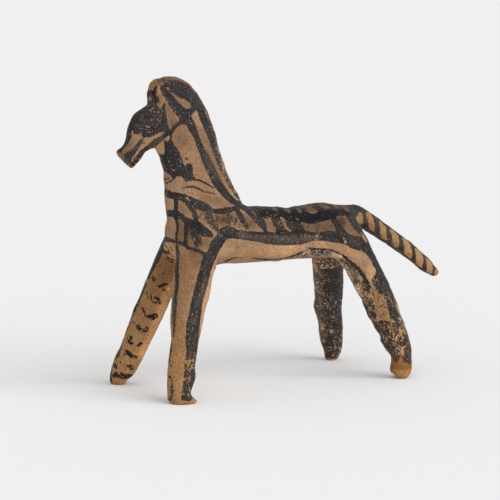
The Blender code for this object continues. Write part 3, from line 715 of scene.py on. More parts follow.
        (375, 229.8), (374.4, 232.2), (374.4, 232.2), (371, 230.6), (369.4, 228), (368.4, 223.4),
        (367, 218.4), (366.2, 214.6),
    )),
    Patch("light_c", Layer.BARE, TAIL, 0, (
        (378.8, 220.8), (380.6, 221.4), (383.6, 224), (385.7, 227.6), (386.5, 231.5), (387.1, 236),
        (387.4, 240.2), (387.4, 240.2), (384, 239.4), (381, 236.8), (381, 236.8), (380.4, 232),
        (379.8, 226),
    )),
    Patch("light_d", Layer.BARE, TAIL, 0, (
        (390, 229), (393, 230.2), (396.2, 232.8), (398.2, 236.6), (399.3, 241), (399.1, 245.6),
        (398.2, 248), (398.2, 248), (395, 246.8), (392.9, 244.8), (392.9, 244.8), (392.3, 240),
        (391.7, 235), (390.4, 231),
    )),
    Patch("light_e", Layer.BARE, TAIL, 0, (
        (402.4, 238), (406, 239), (409.2, 242.2), (411.2, 247), (412.3, 252), (412.3, 256.6),
        (411, 258.6), (411, 258.6), (407, 256.4), (404, 253), (404, 253), (404.2, 247), (403.2, 242),
    )),
    Patch("light_f", Layer.BARE, TAIL, 0, (
        (414.6, 248.2), (417.8, 249), (420.8, 251.6), (422.8, 256), (423.4, 262), (422.6, 266.4),
        (420.4, 267.6), (417, 264.8), (415.9, 261), (416, 255),
    )),
    Patch("light_g", Layer.BARE, TAIL, 0, (
        (425.2, 257.6), (428, 258.8), (430.6, 261.8), (432.2, 266.4), (432.8, 271), (431.2, 274.8),
        (428.6, 273.8), (426.4, 271), (427.2, 266), (426.6, 262),
    )),
    Patch("light_tip", Layer.BARE, TAIL, 0, (
        (436.6, 267), (440, 270), (440, 280), (434.6, 279), (434.8, 274), (435.6, 270),
    )),
)


@dataclass(frozen=True)
class Wash:
    """A soft change of colour or wear, laid as a broad stroke in pixels of the frame; some washes are
    painted highlights and light, painted shade and a painted reflection.
    """

    name: str
    tone: Tone
    parts: tuple[Part, ...]
    strength: float
    fade: float
    points: Points

    def margin(self) -> float:
        """Returns how far the wash reaches past its points, in pixels."""
        return 0.5 * max(width for _, _, width in self.points) + self.fade

    def share(self, spots: np.ndarray) -> np.ndarray:
        """Returns how much of the wash each spot gets, from 0 to its strength."""
        away = stroke_distance(self.points, spots)
        return self.strength * (1.0 - smooth_step(-FADE_INSIDE * self.fade, FADE_OUTSIDE * self.fade, away))


WASHES: tuple[Wash, ...] = (
    # head
    Wash("nose_dim", Tone.UMBER, BODY, 0.75, 6, ((130, 146, 4), (125, 153, 5))),
    Wash("muzzle_rim", Tone.UMBER, BODY, 0.5, 4, ((116, 150, 4), (120, 156, 4), (127, 164, 3))),
    Wash("muzzle_golden", Tone.GOLDEN, BODY, 0.8, 4, ((116, 150, 5), (120, 156, 5), (128, 165, 4))),
    Wash("ear_rim", Tone.UMBER, BODY, 0.45, 3, ((150, 84, 2), (149.6, 88, 2), (152, 88, 1))),
    Wash("ear_crown", Tone.GOLDEN, BODY, 0.7, 3, ((153, 82, 3), (157, 83, 4))),
    Wash("ear_crown_dim", Tone.UMBER, BODY, 0.4, 3, ((152, 82, 3), (157, 83, 4))),
    Wash("ear_pale", Tone.BRIGHT, BODY, 0.55, 2, ((157.6, 88, 1.4), (158.4, 91, 2), (158, 93, 1))),
    Wash("ear_grey", Tone.UMBER, BODY, 0.42, 3, ((161.4, 92.6, 2), (162.4, 96, 3.4), (160.6, 98, 2))),
    Wash("ear_grey_rosy", Tone.ROSY, BODY, 0.7, 3, ((161.4, 92.6, 2), (162.4, 96, 3.4))),
    Wash("ear_low", Tone.GOLDEN, BODY, 0.6, 3, ((162.6, 101, 3), (159.6, 104.6, 2))),
    Wash("ear_soot", Tone.SOOTED, BODY, 0.5, 4, ((149.6, 86, 3), (156, 90, 2), (161, 96, 4))),
    Wash("ear_deep", Tone.DEEP, BODY, 0.9, 3, ((154.4, 87, 2), (153, 93, 3), (157.6, 100, 2))),
    Wash("ear_worn", Tone.WORN, BODY, 0.2, 3, ((152, 98, 3), (155, 99, 3))),
    Wash("lozenge_dim", Tone.UMBER, BODY, 0.62, 7, ((168, 108, 4), (172, 116, 7), (173, 122, 6))),
    Wash("sliver_dim", Tone.UMBER, BODY, 0.5, 6, ((170, 91, 3), (180, 100, 5), (188, 106, 6))),
    Wash("throat_pale", Tone.BRIGHT, BODY, 0.6, 6, ((158, 148.5, 3), (162, 149, 6))),
    Wash("cheek_dot_pale", Tone.PALE, BODY, 0.3, 4, ((168, 138, 4), (168.4, 138.4, 4))),
    Wash("mask_worn", Tone.WORN, BODY, 0.08, 8, ((146, 127, 6), (152, 116, 8), (158, 108, 6))),
    Wash("mask_spared", Tone.SPARED, BODY, 0.5, 8, ((138, 108, 6), (130, 120, 6), (124, 138, 3))),
    Wash("jaw_thin", Tone.THIN, BODY, 0.6, 5, ((150, 146, 3), (156, 142.6, 4), (162, 139, 2))),
    Wash("nose_thin", Tone.THIN, BODY, 0.6, 5, ((141, 141, 4), (136, 148, 4))),
    # neck
    Wash("panel_top_dim", Tone.UMBER, BODY, 0.42, 12, ((177, 129, 6), (182, 137, 8), (184, 144, 6))),
    Wash("neck_dim", Tone.UMBER, BODY, 0.30, 16, ((176, 132, 14), (192, 158, 18), (204, 184, 14))),
    Wash("stripe_dim", Tone.UMBER, BODY, 0.5, 8, (
        (202, 132, 6), (209, 148, 8), (216, 165, 7), (226, 185, 6),
    )),
    Wash("neck_base_dim", Tone.UMBER, BODY, 0.6, 10, ((205, 199, 3), (222, 203, 7), (232, 205, 4))),
    Wash("crest_worn", Tone.WORN, BODY, 0.5, 5, (
        (217, 150, 2), (223, 166, 3), (229, 180, 2), (235, 192, 1),
    )),
    Wash("crest_back_worn", Tone.WORN, BODY, 0.3, 4, ((206, 108, 3), (214, 132, 3), (218, 148, 4))),
    Wash("long_band_thin", Tone.THIN, BODY, 0.6, 8, ((206, 156, 2), (211, 166, 4), (217, 177, 3))),
    Wash("throat_thin", Tone.THIN, BODY, 0.75, 5, ((157, 157, 5), (162, 168, 4))),
    Wash("throat_worn", Tone.WORN, BODY, 0.05, 8, ((165, 158, 6), (172, 168, 6))),
    # breast
    Wash("collar_thin", Tone.THIN, BODY, 0.2, 6, ((190, 202, 4), (198, 205, 5), (206, 208, 3))),
    Wash("collar_deep", Tone.DEEP, BODY, 0.5, 6, ((212, 211, 5), (222, 211.5, 6), (231, 210, 5))),
    Wash("collar_two_deep", Tone.DEEP, BODY, 0.5, 5, ((194, 225, 6), (202, 229, 7), (209, 234, 4))),
    Wash("square_bright", Tone.BRIGHT, BODY, 0.35, 6, ((169, 200, 5), (169, 207, 6))),
    Wash("square_second_dim", Tone.UMBER, BODY, 0.42, 7, ((181, 204, 4), (185, 211, 7))),
    Wash("square_third_dim", Tone.UMBER, BODY, 0.5, 7, ((199, 212, 5), (203, 219, 6))),
    Wash("squares_dim", Tone.UMBER, BODY, 0.8, 9, ((214, 218, 9), (222, 220, 10))),
    Wash("squares_rear_dim", Tone.UMBER, BODY, 0.62, 9, ((231, 217, 8), (242, 222, 8), (250, 228, 6))),
    Wash("squares_soot", Tone.SOOTED, BODY, 0.9, 8, (
        (200, 214, 5), (214, 221, 8), (224, 220, 7), (234, 218, 6),
    )),
    Wash("breast_dim", Tone.UMBER, BODY, 0.78, 7, ((181, 222, 4), (181.4, 232, 6), (181, 241, 5))),
    Wash("breast_stain_wide", Tone.UMBER, BODY, 0.75, 10, ((192, 232, 7), (197, 242, 10), (205, 243, 9))),
    Wash("breast_stain_soot", Tone.SOOTED, BODY, 1.0, 7, ((193, 229, 6), (196, 238, 8), (199, 245, 6))),
    Wash("bar_third_thin", Tone.THIN, BODY, 0.45, 4, ((209, 214, 6), (212, 223, 6), (217, 230, 3))),
    Wash("bar_fourth_thin", Tone.THIN, BODY, 0.5, 3, ((228.4, 213, 3), (229, 226, 3))),
    Wash("breast_low_soot", Tone.SOOTED, BODY, 0.5, 7, ((186, 240, 5), (192, 247, 5), (202, 247, 5))),
    Wash("breast_bright", Tone.BRIGHT, FAR_SHOULDER, 0.95, 5, (
        (165, 245, 3), (171, 252, 5), (172, 257, 4),
    )),
    Wash("breast_golden", Tone.GOLDEN, FAR_SHOULDER, 0.45, 5, (
        (165, 245, 3), (171, 252, 5), (172, 257, 4),
    )),
    Wash("breast_crack_soot", Tone.SOOTED, FAR_SHOULDER, 0.55, 6, (
        (164, 246, 4), (167, 253, 5), (171, 260, 5),
    )),
    # forelegs
    Wash("far_foreleg", Tone.GOLDEN, FAR_FORE, 0.75, 14, (
        (162, 255, 34), (140, 320, 34), (118, 380, 34),
    )),
    Wash("far_foreleg_join", Tone.GOLDEN, BODY, 0.75, 6, ((156, 263, 8), (162, 262, 8), (170, 263, 6))),
    Wash("far_foreleg_top", Tone.UMBER, FAR_SHOULDER, 0.52, 14, (
        (165, 261, 6), (161, 273, 10), (154, 288, 6),
    )),
    Wash("far_foreleg_middle", Tone.UMBER, FAR_FORE, 0.1, 14, ((150, 300, 10), (141, 320, 12))),
    # painted highlights: light on the far foreleg's rear edge and on its lower part
    Wash("far_foreleg_edge_highlight", Tone.BRIGHT, FAR_FORE, 0.95, 6, (
        (171, 284, 2), (165, 298, 4), (153, 330, 4), (142, 356, 3),
    )),
    Wash("far_foreleg_low_highlight", Tone.BRIGHT, FAR_FORE, 0.30, 16, (
        (136, 346, 10), (127, 366, 12), (120, 384, 10),
    )),
    Wash("far_toe_golden", Tone.GOLDEN, FAR_FORE, 0.4, 5, ((112, 381, 5), (124, 383, 6))),
    Wash("near_foreleg", Tone.GOLDEN, NEAR_SHOULDER, 0.35, 12, (
        (186, 256, 20), (185, 276, 26), (184, 330, 30),
    )),
    Wash("near_foreleg_low", Tone.GOLDEN, NEAR_SHOULDER, 0.7, 24, ((182, 350, 34), (182, 404, 34))),
    # painted shade down the middle of the near foreleg, and a painted highlight along its rear edge
    Wash("near_foreleg_shade", Tone.UMBER, NEAR_SHOULDER, 0.34, 14, (
        (187, 258, 7), (188, 280, 9), (184, 305, 6),
    )),
    Wash("near_foreleg_toe", Tone.BRIGHT, NEAR_SHOULDER, 0.15, 12, ((176, 372, 8), (177, 392, 10))),
    Wash("near_foreleg_rear_highlight", Tone.BRIGHT, NEAR_SHOULDER, 0.8, 5, (
        (213, 270, 2), (209, 290, 4), (205, 310, 4), (201, 336, 2),
    )),
    Wash("shoulder_stain", Tone.UMBER, NEAR_SHOULDER, 0.7, 8, (
        (194, 252, 5), (199, 258, 8), (197, 263, 4),
    )),
    Wash("shoulder_soot", Tone.SOOTED, NEAR_SHOULDER, 0.45, 7, (
        (191, 252, 5), (197, 258, 8), (194, 265, 5),
    )),
    Wash("foreleg_band_thin", Tone.THIN, NEAR_SHOULDER, 0.6, 6, (
        (206, 278, 3), (201, 296, 4), (197, 304, 3),
    )),
    Wash("foreleg_band_streak", Tone.THIN, NEAR_SHOULDER, 0.3, 4, (
        (194, 310, 2), (191, 328, 2), (190, 350, 2),
    )),
    Wash("foreleg_band_low", Tone.WORN, NEAR_SHOULDER, 0.30, 5, (
        (190, 357, 9), (190, 376, 12), (188, 392, 8),
    )),
    Wash("foreleg_band_specks", Tone.WORN, NEAR_SHOULDER, 0.24, 6, (
        (193, 328, 3), (192, 336, 4), (193, 344, 2),
    )),
    Wash("shin_line_thin", Tone.THIN, NEAR_SHOULDER, 0.6, 3, (
        (174, 300, 2), (174, 320, 3), (173.6, 336, 2),
    )),
    Wash("dabs_worn", Tone.WORN, FAR_FORE, 0.34, 10, ((160, 280, 24), (135, 340, 26), (120, 372, 26))),
    Wash("dabs_deep", Tone.DEEP, FAR_FORE, 0.6, 10, ((160, 280, 24), (135, 340, 26), (120, 372, 26))),
    # flank and back
    Wash("flank_thin", Tone.THIN, BODY, 0.7, 6, (
        (240, 235, 4), (262, 237, 5), (288, 239, 6), (315, 237, 6),
    )),
    Wash("flank_worn", Tone.WORN, BODY, 0.14, 6, ((284, 239, 3), (300, 239, 5), (318, 236, 4))),
    Wash("flank_deep", Tone.DEEP, BODY, 0.5, 4, ((250, 232.4, 3), (290, 232.4, 3), (322, 233, 3))),
    Wash("ladder_worn", Tone.WORN, BODY, 0.20, 8, ((258, 222, 9), (276, 222, 10), (294, 224, 9))),
    Wash("ladder_dim", Tone.UMBER, BODY, 0.62, 8, ((250, 219, 8), (268, 225, 9), (288, 226, 9))),
    Wash("ladder_soot", Tone.SOOTED, BODY, 0.7, 8, (
        (238, 224, 8), (250, 222, 8), (270, 224, 10), (290, 226, 9),
    )),
    Wash("saddle_dim", Tone.UMBER, BODY, 1.0, 7, ((304, 227, 9), (327, 226, 9), (340, 222, 8))),
    Wash("saddle_rosy", Tone.ROSY, BODY, 0.5, 7, (
        (304, 227, 9), (327, 226, 9), (342, 220, 8), (352, 229, 8),
    )),
    Wash("croup_dim", Tone.UMBER, BODY, 0.85, 7, ((341, 218, 7), (350, 228, 9), (358, 234, 5))),
    Wash("saddle_soot", Tone.SOOTED, BODY, 0.55, 6, (
        (302, 226, 4), (318, 227, 6), (343, 222, 5), (352, 230, 5),
    )),
    Wash("window_bar_thin", Tone.THIN, BODY, 1.0, 3, ((317.4, 223, 4), (318, 231, 4))),
    Wash("rung_dim", Tone.UMBER, BODY, 1.0, 6, ((270, 208, 7), (310, 207, 9), (350, 208, 9))),
    Wash("rung_rosy", Tone.ROSY, BODY, 0.6, 6, ((270, 208, 7), (310, 207, 9), (350, 208, 9))),
    Wash("spine_deep", Tone.DEEP, BODY, 0.9, 7, (
        (262, 212, 5), (285, 214, 8), (310, 218, 9), (330, 215, 6), (345, 212, 4),
    )),
    Wash("haunch_thin", Tone.THIN, BODY, 0.3, 9, ((345, 238, 4), (358, 244, 5))),
    Wash("haunch_worn", Tone.WORN, BODY, 0.08, 6, ((348, 239, 4), (360, 246, 5))),
    # belly
    # painted light: the lower flank lit by light thrown up from the floor, with a small painted highlight
    Wash("belly_painted_light", Tone.BRIGHT, BODY, 0.65, 8, (
        (243, 253, 5), (262, 252, 6), (290, 250.6, 7), (303, 248, 4),
    )),
    Wash("belly_front_painted_light", Tone.BRIGHT, BODY, 0.45, 8, ((220, 250, 4), (232, 254, 6))),
    Wash("belly_highlight_spot", Tone.BRIGHT, BODY, 0.4, 7, ((286, 250, 6), (294, 249.6, 6))),
    # painted reflection: a pale grey-pink strip along the belly's lower edge, where the pale surround
    # reflects at grazing angles
    Wash("belly_edge", Tone.ROSY, BODY, 0.9, 3, (
        (222, 262.4, 2), (245, 261.5, 2), (280, 261, 2), (300, 258.6, 2),
    )),
    Wash("belly_edge_reflection", Tone.PALE, BODY, 0.9, 2.6, (
        (222, 264.4, 1.6), (250, 261, 2), (282, 261, 2), (300, 258.6, 1.6),
    )),
    Wash("belly_edge_soot", Tone.SOOTED, BODY, 0.75, 3, (
        (226, 262, 3), (245, 260.5, 3), (280, 260, 3), (300, 257, 4),
    )),
    Wash("groin_pale", Tone.PALE, NEAR_HAUNCH, 1.0, 3.6, (
        (331.6, 254.6, 2), (336, 255, 4.4), (340, 256.6, 3),
    )),
    Wash("groin_pale_rear", Tone.BRIGHT, NEAR_HAUNCH, 0.9, 3.4, ((341.6, 256, 3), (344, 258, 3.6))),
    Wash("groin_grey", Tone.ROSY, FAR_HAUNCH, 0.9, 8, ((308, 254, 7), (326, 257, 12), (340, 262, 6))),
    Wash("groin_soot", Tone.SOOTED, NEAR_HAUNCH, 0.55, 5, (
        (312, 250, 2), (324, 252, 4), (334, 259, 6), (345, 263, 4),
    )),
    # left hind leg
    Wash("lobe_bright", Tone.BRIGHT, NEAR_HAUNCH, 0.5, 8, (
        (320, 245.6, 3), (335, 247, 5), (351, 252, 6), (358, 257, 4),
    )),
    Wash("lobe_low_bright", Tone.BRIGHT, NEAR_HAUNCH, 0.5, 6, ((371, 270, 4), (371, 278, 4))),
    Wash("shank_bright", Tone.BRIGHT, NEAR_HAUNCH, 0.12, 8, ((376, 296, 8), (382, 312, 10))),
    Wash("shank_olive", Tone.OLIVE, NEAR_HAUNCH, 0.35, 8, (
        (376, 292, 8), (383, 312, 12), (396, 348, 18), (402, 360, 14),
    )),
    Wash("shank_golden", Tone.GOLDEN, NEAR_HAUNCH, 0.25, 20, ((380, 300, 20), (396, 345, 24))),
    Wash("shank_soot", Tone.SOOTED, NEAR_HAUNCH, 0.75, 8, ((376, 290, 6), (383, 312, 12))),
    Wash("thigh_front_soot", Tone.SOOTED, NEAR_HAUNCH, 0.6, 6, (
        (340, 262, 4), (352, 276, 8), (364, 300, 8), (370, 314, 5),
    )),
    Wash("thigh_front_pale", Tone.PALE, NEAR_HAUNCH, 0.7, 6, (
        (342, 264, 4), (349, 276, 5), (357, 290, 4),
    )),
    Wash("thigh_front_rosy", Tone.ROSY, NEAR_HAUNCH, 0.7, 6, (
        (342, 264, 4), (349, 276, 5), (357, 290, 4),
    )),
    Wash("thigh_front_worn", Tone.WORN, NEAR_HAUNCH, 0.08, 6, (
        (342, 264, 4), (350, 278, 6), (358, 292, 5),
    )),
    Wash("thigh_front_thin", Tone.THIN, NEAR_HAUNCH, 0.8, 6, (
        (342, 264, 4), (352, 278, 9), (364, 300, 9),
    )),
    Wash("thigh_front_dim", Tone.OLIVE, NEAR_HAUNCH, 0.6, 8, ((362, 296, 6), (370, 312, 5))),
    Wash("haunch_spared", Tone.SPARED, NEAR_HAUNCH, 0.3, 8, (
        (366, 250, 6), (378, 268, 8), (388, 288, 6),
    )),
    Wash("rear_rub", Tone.WORN, NEAR_HAUNCH, 0.36, 3, (
        (394, 297, 1), (398, 306, 3), (401, 315, 3.4), (405, 326, 2),
    )),
    Wash("shank_back_dim", Tone.UMBER, NEAR_HAUNCH, 0.5, 7, (
        (402, 324, 3), (407, 340, 5), (408, 356, 5),
    )),
    Wash("hoof_golden", Tone.GOLDEN, NEAR_HAUNCH, 1.0, 8, ((398, 368, 22), (402, 376, 24))),
    Wash("hoof_olive", Tone.OLIVE, NEAR_HAUNCH, 0.8, 8, ((398, 368, 22), (402, 376, 24))),
    Wash("hoof_bright", Tone.BRIGHT, NEAR_HAUNCH, 0.30, 4, ((394, 374, 4), (401, 374, 5), (408, 373, 5))),
    Wash("hoof_dim", Tone.UMBER, NEAR_HAUNCH, 0.5, 4, (
        (390, 366, 4), (398, 366.4, 3), (405, 367.6, 3), (412, 366, 3),
    )),
    Wash("hoof_soot", Tone.SOOTED, NEAR_HAUNCH, 0.6, 5, ((391, 364, 6), (400, 364, 5), (411, 362, 5))),
    # right hind leg
    Wash("far_hoof", Tone.GOLDEN, FAR_HIND, 0.8, 4, ((322, 358, 8), (342, 358, 8))),
    Wash("far_hoof_bright", Tone.BRIGHT, FAR_HIND, 0.8, 5, ((322, 359, 6), (340, 359, 6))),
    Wash("far_hind_golden", Tone.GOLDEN, FAR_HIND, 0.3, 8, ((318, 264, 12), (336, 266, 10))),
    Wash("far_hind_golden_left", Tone.GOLDEN, FAR_HIND, 0.4, 8, (
        (316, 280, 8), (319, 310, 10), (322, 345, 12),
    )),
    Wash("far_hind_left", Tone.WORN, FAR_HIND, 0.10, 6, ((315, 270, 4), (317, 300, 4), (321, 340, 5))),
    Wash("far_hind_left_thin", Tone.THIN, FAR_HIND, 0.8, 8, (
        (316, 264, 8), (318, 300, 8), (321, 330, 8),
    )),
    Wash("far_hind_top_thin", Tone.THIN, FAR_HAUNCH, 0.5, 7, (
        (312, 257, 6), (328, 258, 9), (340, 261, 4),
    )),
    Wash("far_hind_top_worn", Tone.WORN, FAR_HIND, 0.1, 8, (
        (312, 262, 8), (326, 264, 10), (340, 268, 6),
    )),
    Wash("far_hind_top_pale", Tone.PALE, FAR_HAUNCH, 0.7, 8, (
        (310, 258, 8), (322, 262, 9), (338, 266, 6),
    )),
    Wash("far_hind_left_pale", Tone.PALE, FAR_HIND, 0.4, 10, (
        (316, 280, 10), (322, 320, 12), (326, 345, 10),
    )),
    Wash("far_hind_right", Tone.SPARED, FAR_HIND, 0.3, 8, ((339, 272, 5), (339, 300, 6), (340, 326, 5))),
    Wash("far_hind_low", Tone.WORN, FAR_HIND, 0.10, 8, ((329, 336, 8), (330, 348, 10))),
    # tail
    Wash("tail_olive", Tone.OLIVE, RUMP, 1.0, 8, ((360, 217, 12), (385, 230, 18), (432, 268, 18))),
    Wash("tail_bright", Tone.BRIGHT, RUMP, 0.22, 6, (
        (384, 233, 8), (396, 241, 8), (419, 260, 9), (430, 268, 7),
    )),
    Wash("tail_under_thin", Tone.THIN, RUMP, 0.6, 4, ((364, 228, 3), (390, 244, 3), (425, 272, 3))),
    Wash("tail_bars_thin", Tone.THIN, RUMP, 0.45, 6, ((365, 218, 10), (395, 238, 12), (430, 264, 10))),
)


@dataclass(frozen=True)
class Dint:
    """A small hollow, seen at a place in the frame; its depth is in millimetres."""

    name: str
    parts: tuple[Part, ...]
    u: float
    v: float
    radius: float
    depth: float


DINTS: tuple[Dint, ...] = (
    Dint("eye", BODY, 148.0, 127.0, 2.4, 0.35),
    Dint("ear_hollow_top", BODY, 154.6, 86.6, 2.2, 0.7),
    Dint("ear_hollow_middle", BODY, 154.4, 92.5, 2.8, 0.9),
    Dint("ear_hollow_low", BODY, 155.2, 99.5, 3.0, 0.7),
    Dint("cheek_pit", BODY, 156.0, 120.0, 1.6, 0.15),
    Dint("panel_pit", BODY, 186.4, 161.6, 1.6, 0.2),
    Dint("lens_chip", BODY, 195.6, 190.0, 1.8, 0.25),
)


@dataclass(frozen=True)
class Nudge:
    """A soft push of the skin in the plane of the photograph, in pixels of the frame."""

    name: str
    parts: tuple[Part, ...]
    u: float
    v: float
    radius: float
    right: float
    down: float


NUDGES: tuple[Nudge, ...] = (
    Nudge("ear_top", BODY, 154, 82, 5, -1.6, -0.2),
    Nudge("ear_crown", BODY, 164, 78, 4.5, -0.2, -1.3),
    Nudge("ear_arch", BODY, 156, 80, 4, 0.0, -2.0),
    Nudge("crest_top", BODY, 172, 78, 8, 0.4, -0.8),
    Nudge("crest_slope", BODY, 188, 83, 6, 0.2, -1.0),
    Nudge("crest_back", BODY, 196, 93, 10, 0.3, -0.4),
    Nudge("crest_back_bend", BODY, 209, 110, 6, 0.4, -0.2),
    Nudge("crest_back_low", BODY, 214, 132, 10, 0.9, -0.2),
    Nudge("neck_back_low", BODY, 231, 180, 7, 0.6, -0.2),
    Nudge("forehead", BODY, 135, 114, 9, -1.3, -1.1),
    Nudge("nose_bridge", BODY, 124, 137, 7, 1.0, 0.2),
    Nudge("muzzle_corner", BODY, 117, 151, 4.5, -1.8, -0.2),
    Nudge("chin_corner", BODY, 130, 167, 4, 0.3, 1.0),
    Nudge("jaw_under", BODY, 147, 153, 6, -1.4, -1.5),
    Nudge("throat_bend", BODY, 157, 151, 4, -1.8, -0.4),
    Nudge("neck_front", BODY, 163, 171, 7, 0.9, 0.0),
    Nudge("chest", BODY, 166, 218, 9, 1.7, 0.0),
    Nudge("withers", BODY, 260, 207, 9, 0.0, -0.8),
    Nudge("back_dip", BODY, 287, 206, 6, 0.0, 1.4),
    Nudge("rump_front", BODY, 323, 204, 11, 0.0, -1.4),
    Nudge("rump_back", RUMP, 356, 206, 9, 0.0, -2.0),
    Nudge("croup_rear", BODY, 369, 240, 6, 1.0, 0.0),
    Nudge("fork_front", NEAR_SHOULDER, 216, 266, 5, 0.6, 1.8),
    Nudge("belly_front", BODY, 245, 263, 12, 0.0, -4.6),
    Nudge("belly_middle", BODY, 276, 261, 9, 0.0, 2.4),
    Nudge("belly_rear", BODY, 304, 259, 6, 0.0, -0.8),
    Nudge("tail_back", TAIL, 411, 243, 8, 0.1, -0.9),
    Nudge("tail_low", TAIL, 421, 270, 8, 0.0, 1.6),
    Nudge("tail_tip", TAIL, 437, 266, 6, -1.5, 0.5),
    Nudge("far_foreleg_lip", FAR_FORE, 134, 309, 7, -0.8, 0.0),
    Nudge("far_foreleg_back", FAR_FORE, 149, 343, 12, 0.9, 0.0),
    Nudge("far_foreleg_front", FAR_FORE, 120, 346, 7, 0.8, 0.0),
    Nudge("far_toe_heel", FAR_FORE, 132, 385, 6, -2.6, -3.0),
    Nudge("near_foreleg_front", NEAR_FORE, 171, 300, 10, 1.6, 0.0),
    Nudge("near_foreleg_front_low", NEAR_FORE, 170, 336, 12, 0.9, 0.0),
    Nudge("near_foreleg_back", NEAR_FORE, 209, 295, 10, 1.9, 0.0),
    Nudge("near_heel_hollow", NEAR_FORE, 195, 393, 5, -2.4, 0.0),
    Nudge("near_heel_bulge", NEAR_FORE, 196, 377, 6, 1.9, 0.0),
    Nudge("near_heel_spur", NEAR_FORE, 196, 402, 3.6, 2.2, -0.3),
    Nudge("near_toe", NEAR_FORE, 168, 403, 6, 0.4, -1.4),
    Nudge("far_knee", FAR_HIND, 315, 306, 7, -1.9, 0.0),
    Nudge("far_knee_back", FAR_HIND, 343, 309, 9, -1.1, 0.0),
    Nudge("far_shin", FAR_HIND, 318, 322, 6, 1.2, 0.0),
    Nudge("far_shin_low", FAR_HIND, 322, 352, 7, 1.6, 0.0),
    Nudge("far_stump", FAR_HIND, 342, 359, 6, -2.0, -1.4),
    Nudge("near_thigh_front", NEAR_HIND, 351, 282, 14, 1.1, 0.0),
    Nudge("near_thigh_top", NEAR_HAUNCH, 344, 270, 4, 1.3, 0.0),
    Nudge("near_thigh_low", NEAR_HIND, 360, 299, 5, 1.4, 0.0),
    Nudge("near_knee_front", NEAR_HIND, 369, 316, 5, -1.2, 0.0),
    Nudge("near_shank_step", NEAR_HIND, 379, 334, 5, 1.4, 0.0),
    Nudge("near_shank_notch", NEAR_HIND, 381.6, 341, 3, -0.9, 0.0),
    Nudge("near_shank_hollow", NEAR_HIND, 389, 356, 6.5, 3.2, 0.0),
    Nudge("near_shank_back", NEAR_HIND, 411, 347, 8, 1.2, 0.0),
    Nudge("near_calf_back", NEAR_HIND, 402, 314, 6, -1.0, 0.0),
    Nudge("near_hoof_front", NEAR_HIND, 391, 378, 5, 0.4, -3.6),
    Nudge("near_hoof_toe", NEAR_HIND, 391, 370, 4, -0.9, 0.0),
    Nudge("near_hoof_back", NEAR_HIND, 411, 377, 6, -1.4, -1.6),
)


def touched(spot: Dint | Nudge, spots: np.ndarray, parts: np.ndarray) -> np.ndarray:
    """Tells how strongly a dint or a nudge works at each point.

    Args:
        spot: The dint or the nudge.
        spots: The points' places in the frame, in pixels.
        parts: Each point's part.

    Returns:
        Shares from 0 to 1.
    """
    rows = np.isin(parts, [part.value for part in spot.parts])
    away = np.hypot(spots[:, 0] - spot.u, spots[:, 1] - spot.v) / spot.radius
    return np.where(rows, np.exp(-away * away), 0.0)


@dataclass(frozen=True)
class PhotoView:
    """The photograph's camera, in metres from the middle of the four soles."""

    azimuth: float = math.radians(32.3825)
    elevation: float = math.radians(10.4321)
    distance: float = 1.6
    pixels_per_metre: float = 2141.3
    stand: tuple[float, float, float] = (-0.01329, 0.00017, 0.0)
    stand_u: float = 260.376
    stand_v: float = 380.243
    sensor: float = 36.0
    nearest: float = 0.1
    farthest: float = 50.0

    def stand_axes(self) -> tuple[np.ndarray, np.ndarray, np.ndarray]:
        """Works out how the solved view is turned.

        Returns:
            The right, up and backward directions.
        """
        level = math.cos(self.elevation)
        back = np.array(
            [-math.sin(self.azimuth) * level, -math.cos(self.azimuth) * level, math.sin(self.elevation)]
        )
        right = np.array([math.cos(self.azimuth), -math.sin(self.azimuth), 0.0])
        return right, np.cross(back, right), back

    def place(self) -> np.ndarray:
        """Returns the point where the camera stands."""
        return np.array(self.stand) + self.distance * self.stand_axes()[2]

    def aim(self) -> np.ndarray:
        """Finds what the camera looks at.

        Returns:
            The point that lies in the middle of the frame.
        """
        right, up, _ = self.stand_axes()
        middle = 0.5 * FRAME_WIDTH
        across = right * (middle - self.stand_u) / self.pixels_per_metre
        return np.array(self.stand) + across + up * (self.stand_v - middle) / self.pixels_per_metre

    def axes(self) -> tuple[np.ndarray, np.ndarray, np.ndarray]:
        """Works out how the aimed camera is turned.

        Returns:
            The right, up and backward directions.
        """
        back = self.place() - self.aim()
        back = back / np.linalg.norm(back)
        right = np.cross([0.0, 0.0, 1.0], back)
        right = right / np.linalg.norm(right)
        return right, np.cross(back, right), back

    def focal_pixels(self) -> float:
        """Returns the focal length in pixels of the frame."""
        return self.pixels_per_metre * float(np.linalg.norm(self.place() - self.aim()))

    def project(self, points: np.ndarray) -> np.ndarray:
        """Finds where points fall in the frame.

        Args:
            points: Points in metres, one a row.

        Returns:
            Their places in pixels, one a row.
        """
        right, up, back = self.axes()
        offset = points - self.place()
        depth = -(offset @ back)
        focal = self.focal_pixels()
        middle = 0.5 * FRAME_WIDTH
        across = middle + focal * (offset @ right) / depth
        down = middle - focal * (offset @ up) / depth
        return np.stack([across, down], axis=1)

    def make_camera(self) -> bpy.types.Object:
        """Sets the scene's camera up at this view.

        Returns:
            The camera.
        """
        data = bpy.data.cameras.new("photo_camera")
        data.sensor_width = self.sensor
        data.lens = self.focal_pixels() * self.sensor / FRAME_WIDTH
        data.clip_start = self.nearest
        data.clip_end = self.farthest
        camera = bpy.data.objects.new("photo_camera", data)
        camera.location = Vector(self.place())
        camera.rotation_mode = "QUATERNION"
        camera.rotation_quaternion = (Vector(self.aim()) - Vector(self.place())).to_track_quat("-Z", "Y")
        bpy.context.scene.collection.objects.link(camera)
        bpy.context.scene.camera = camera
        return camera


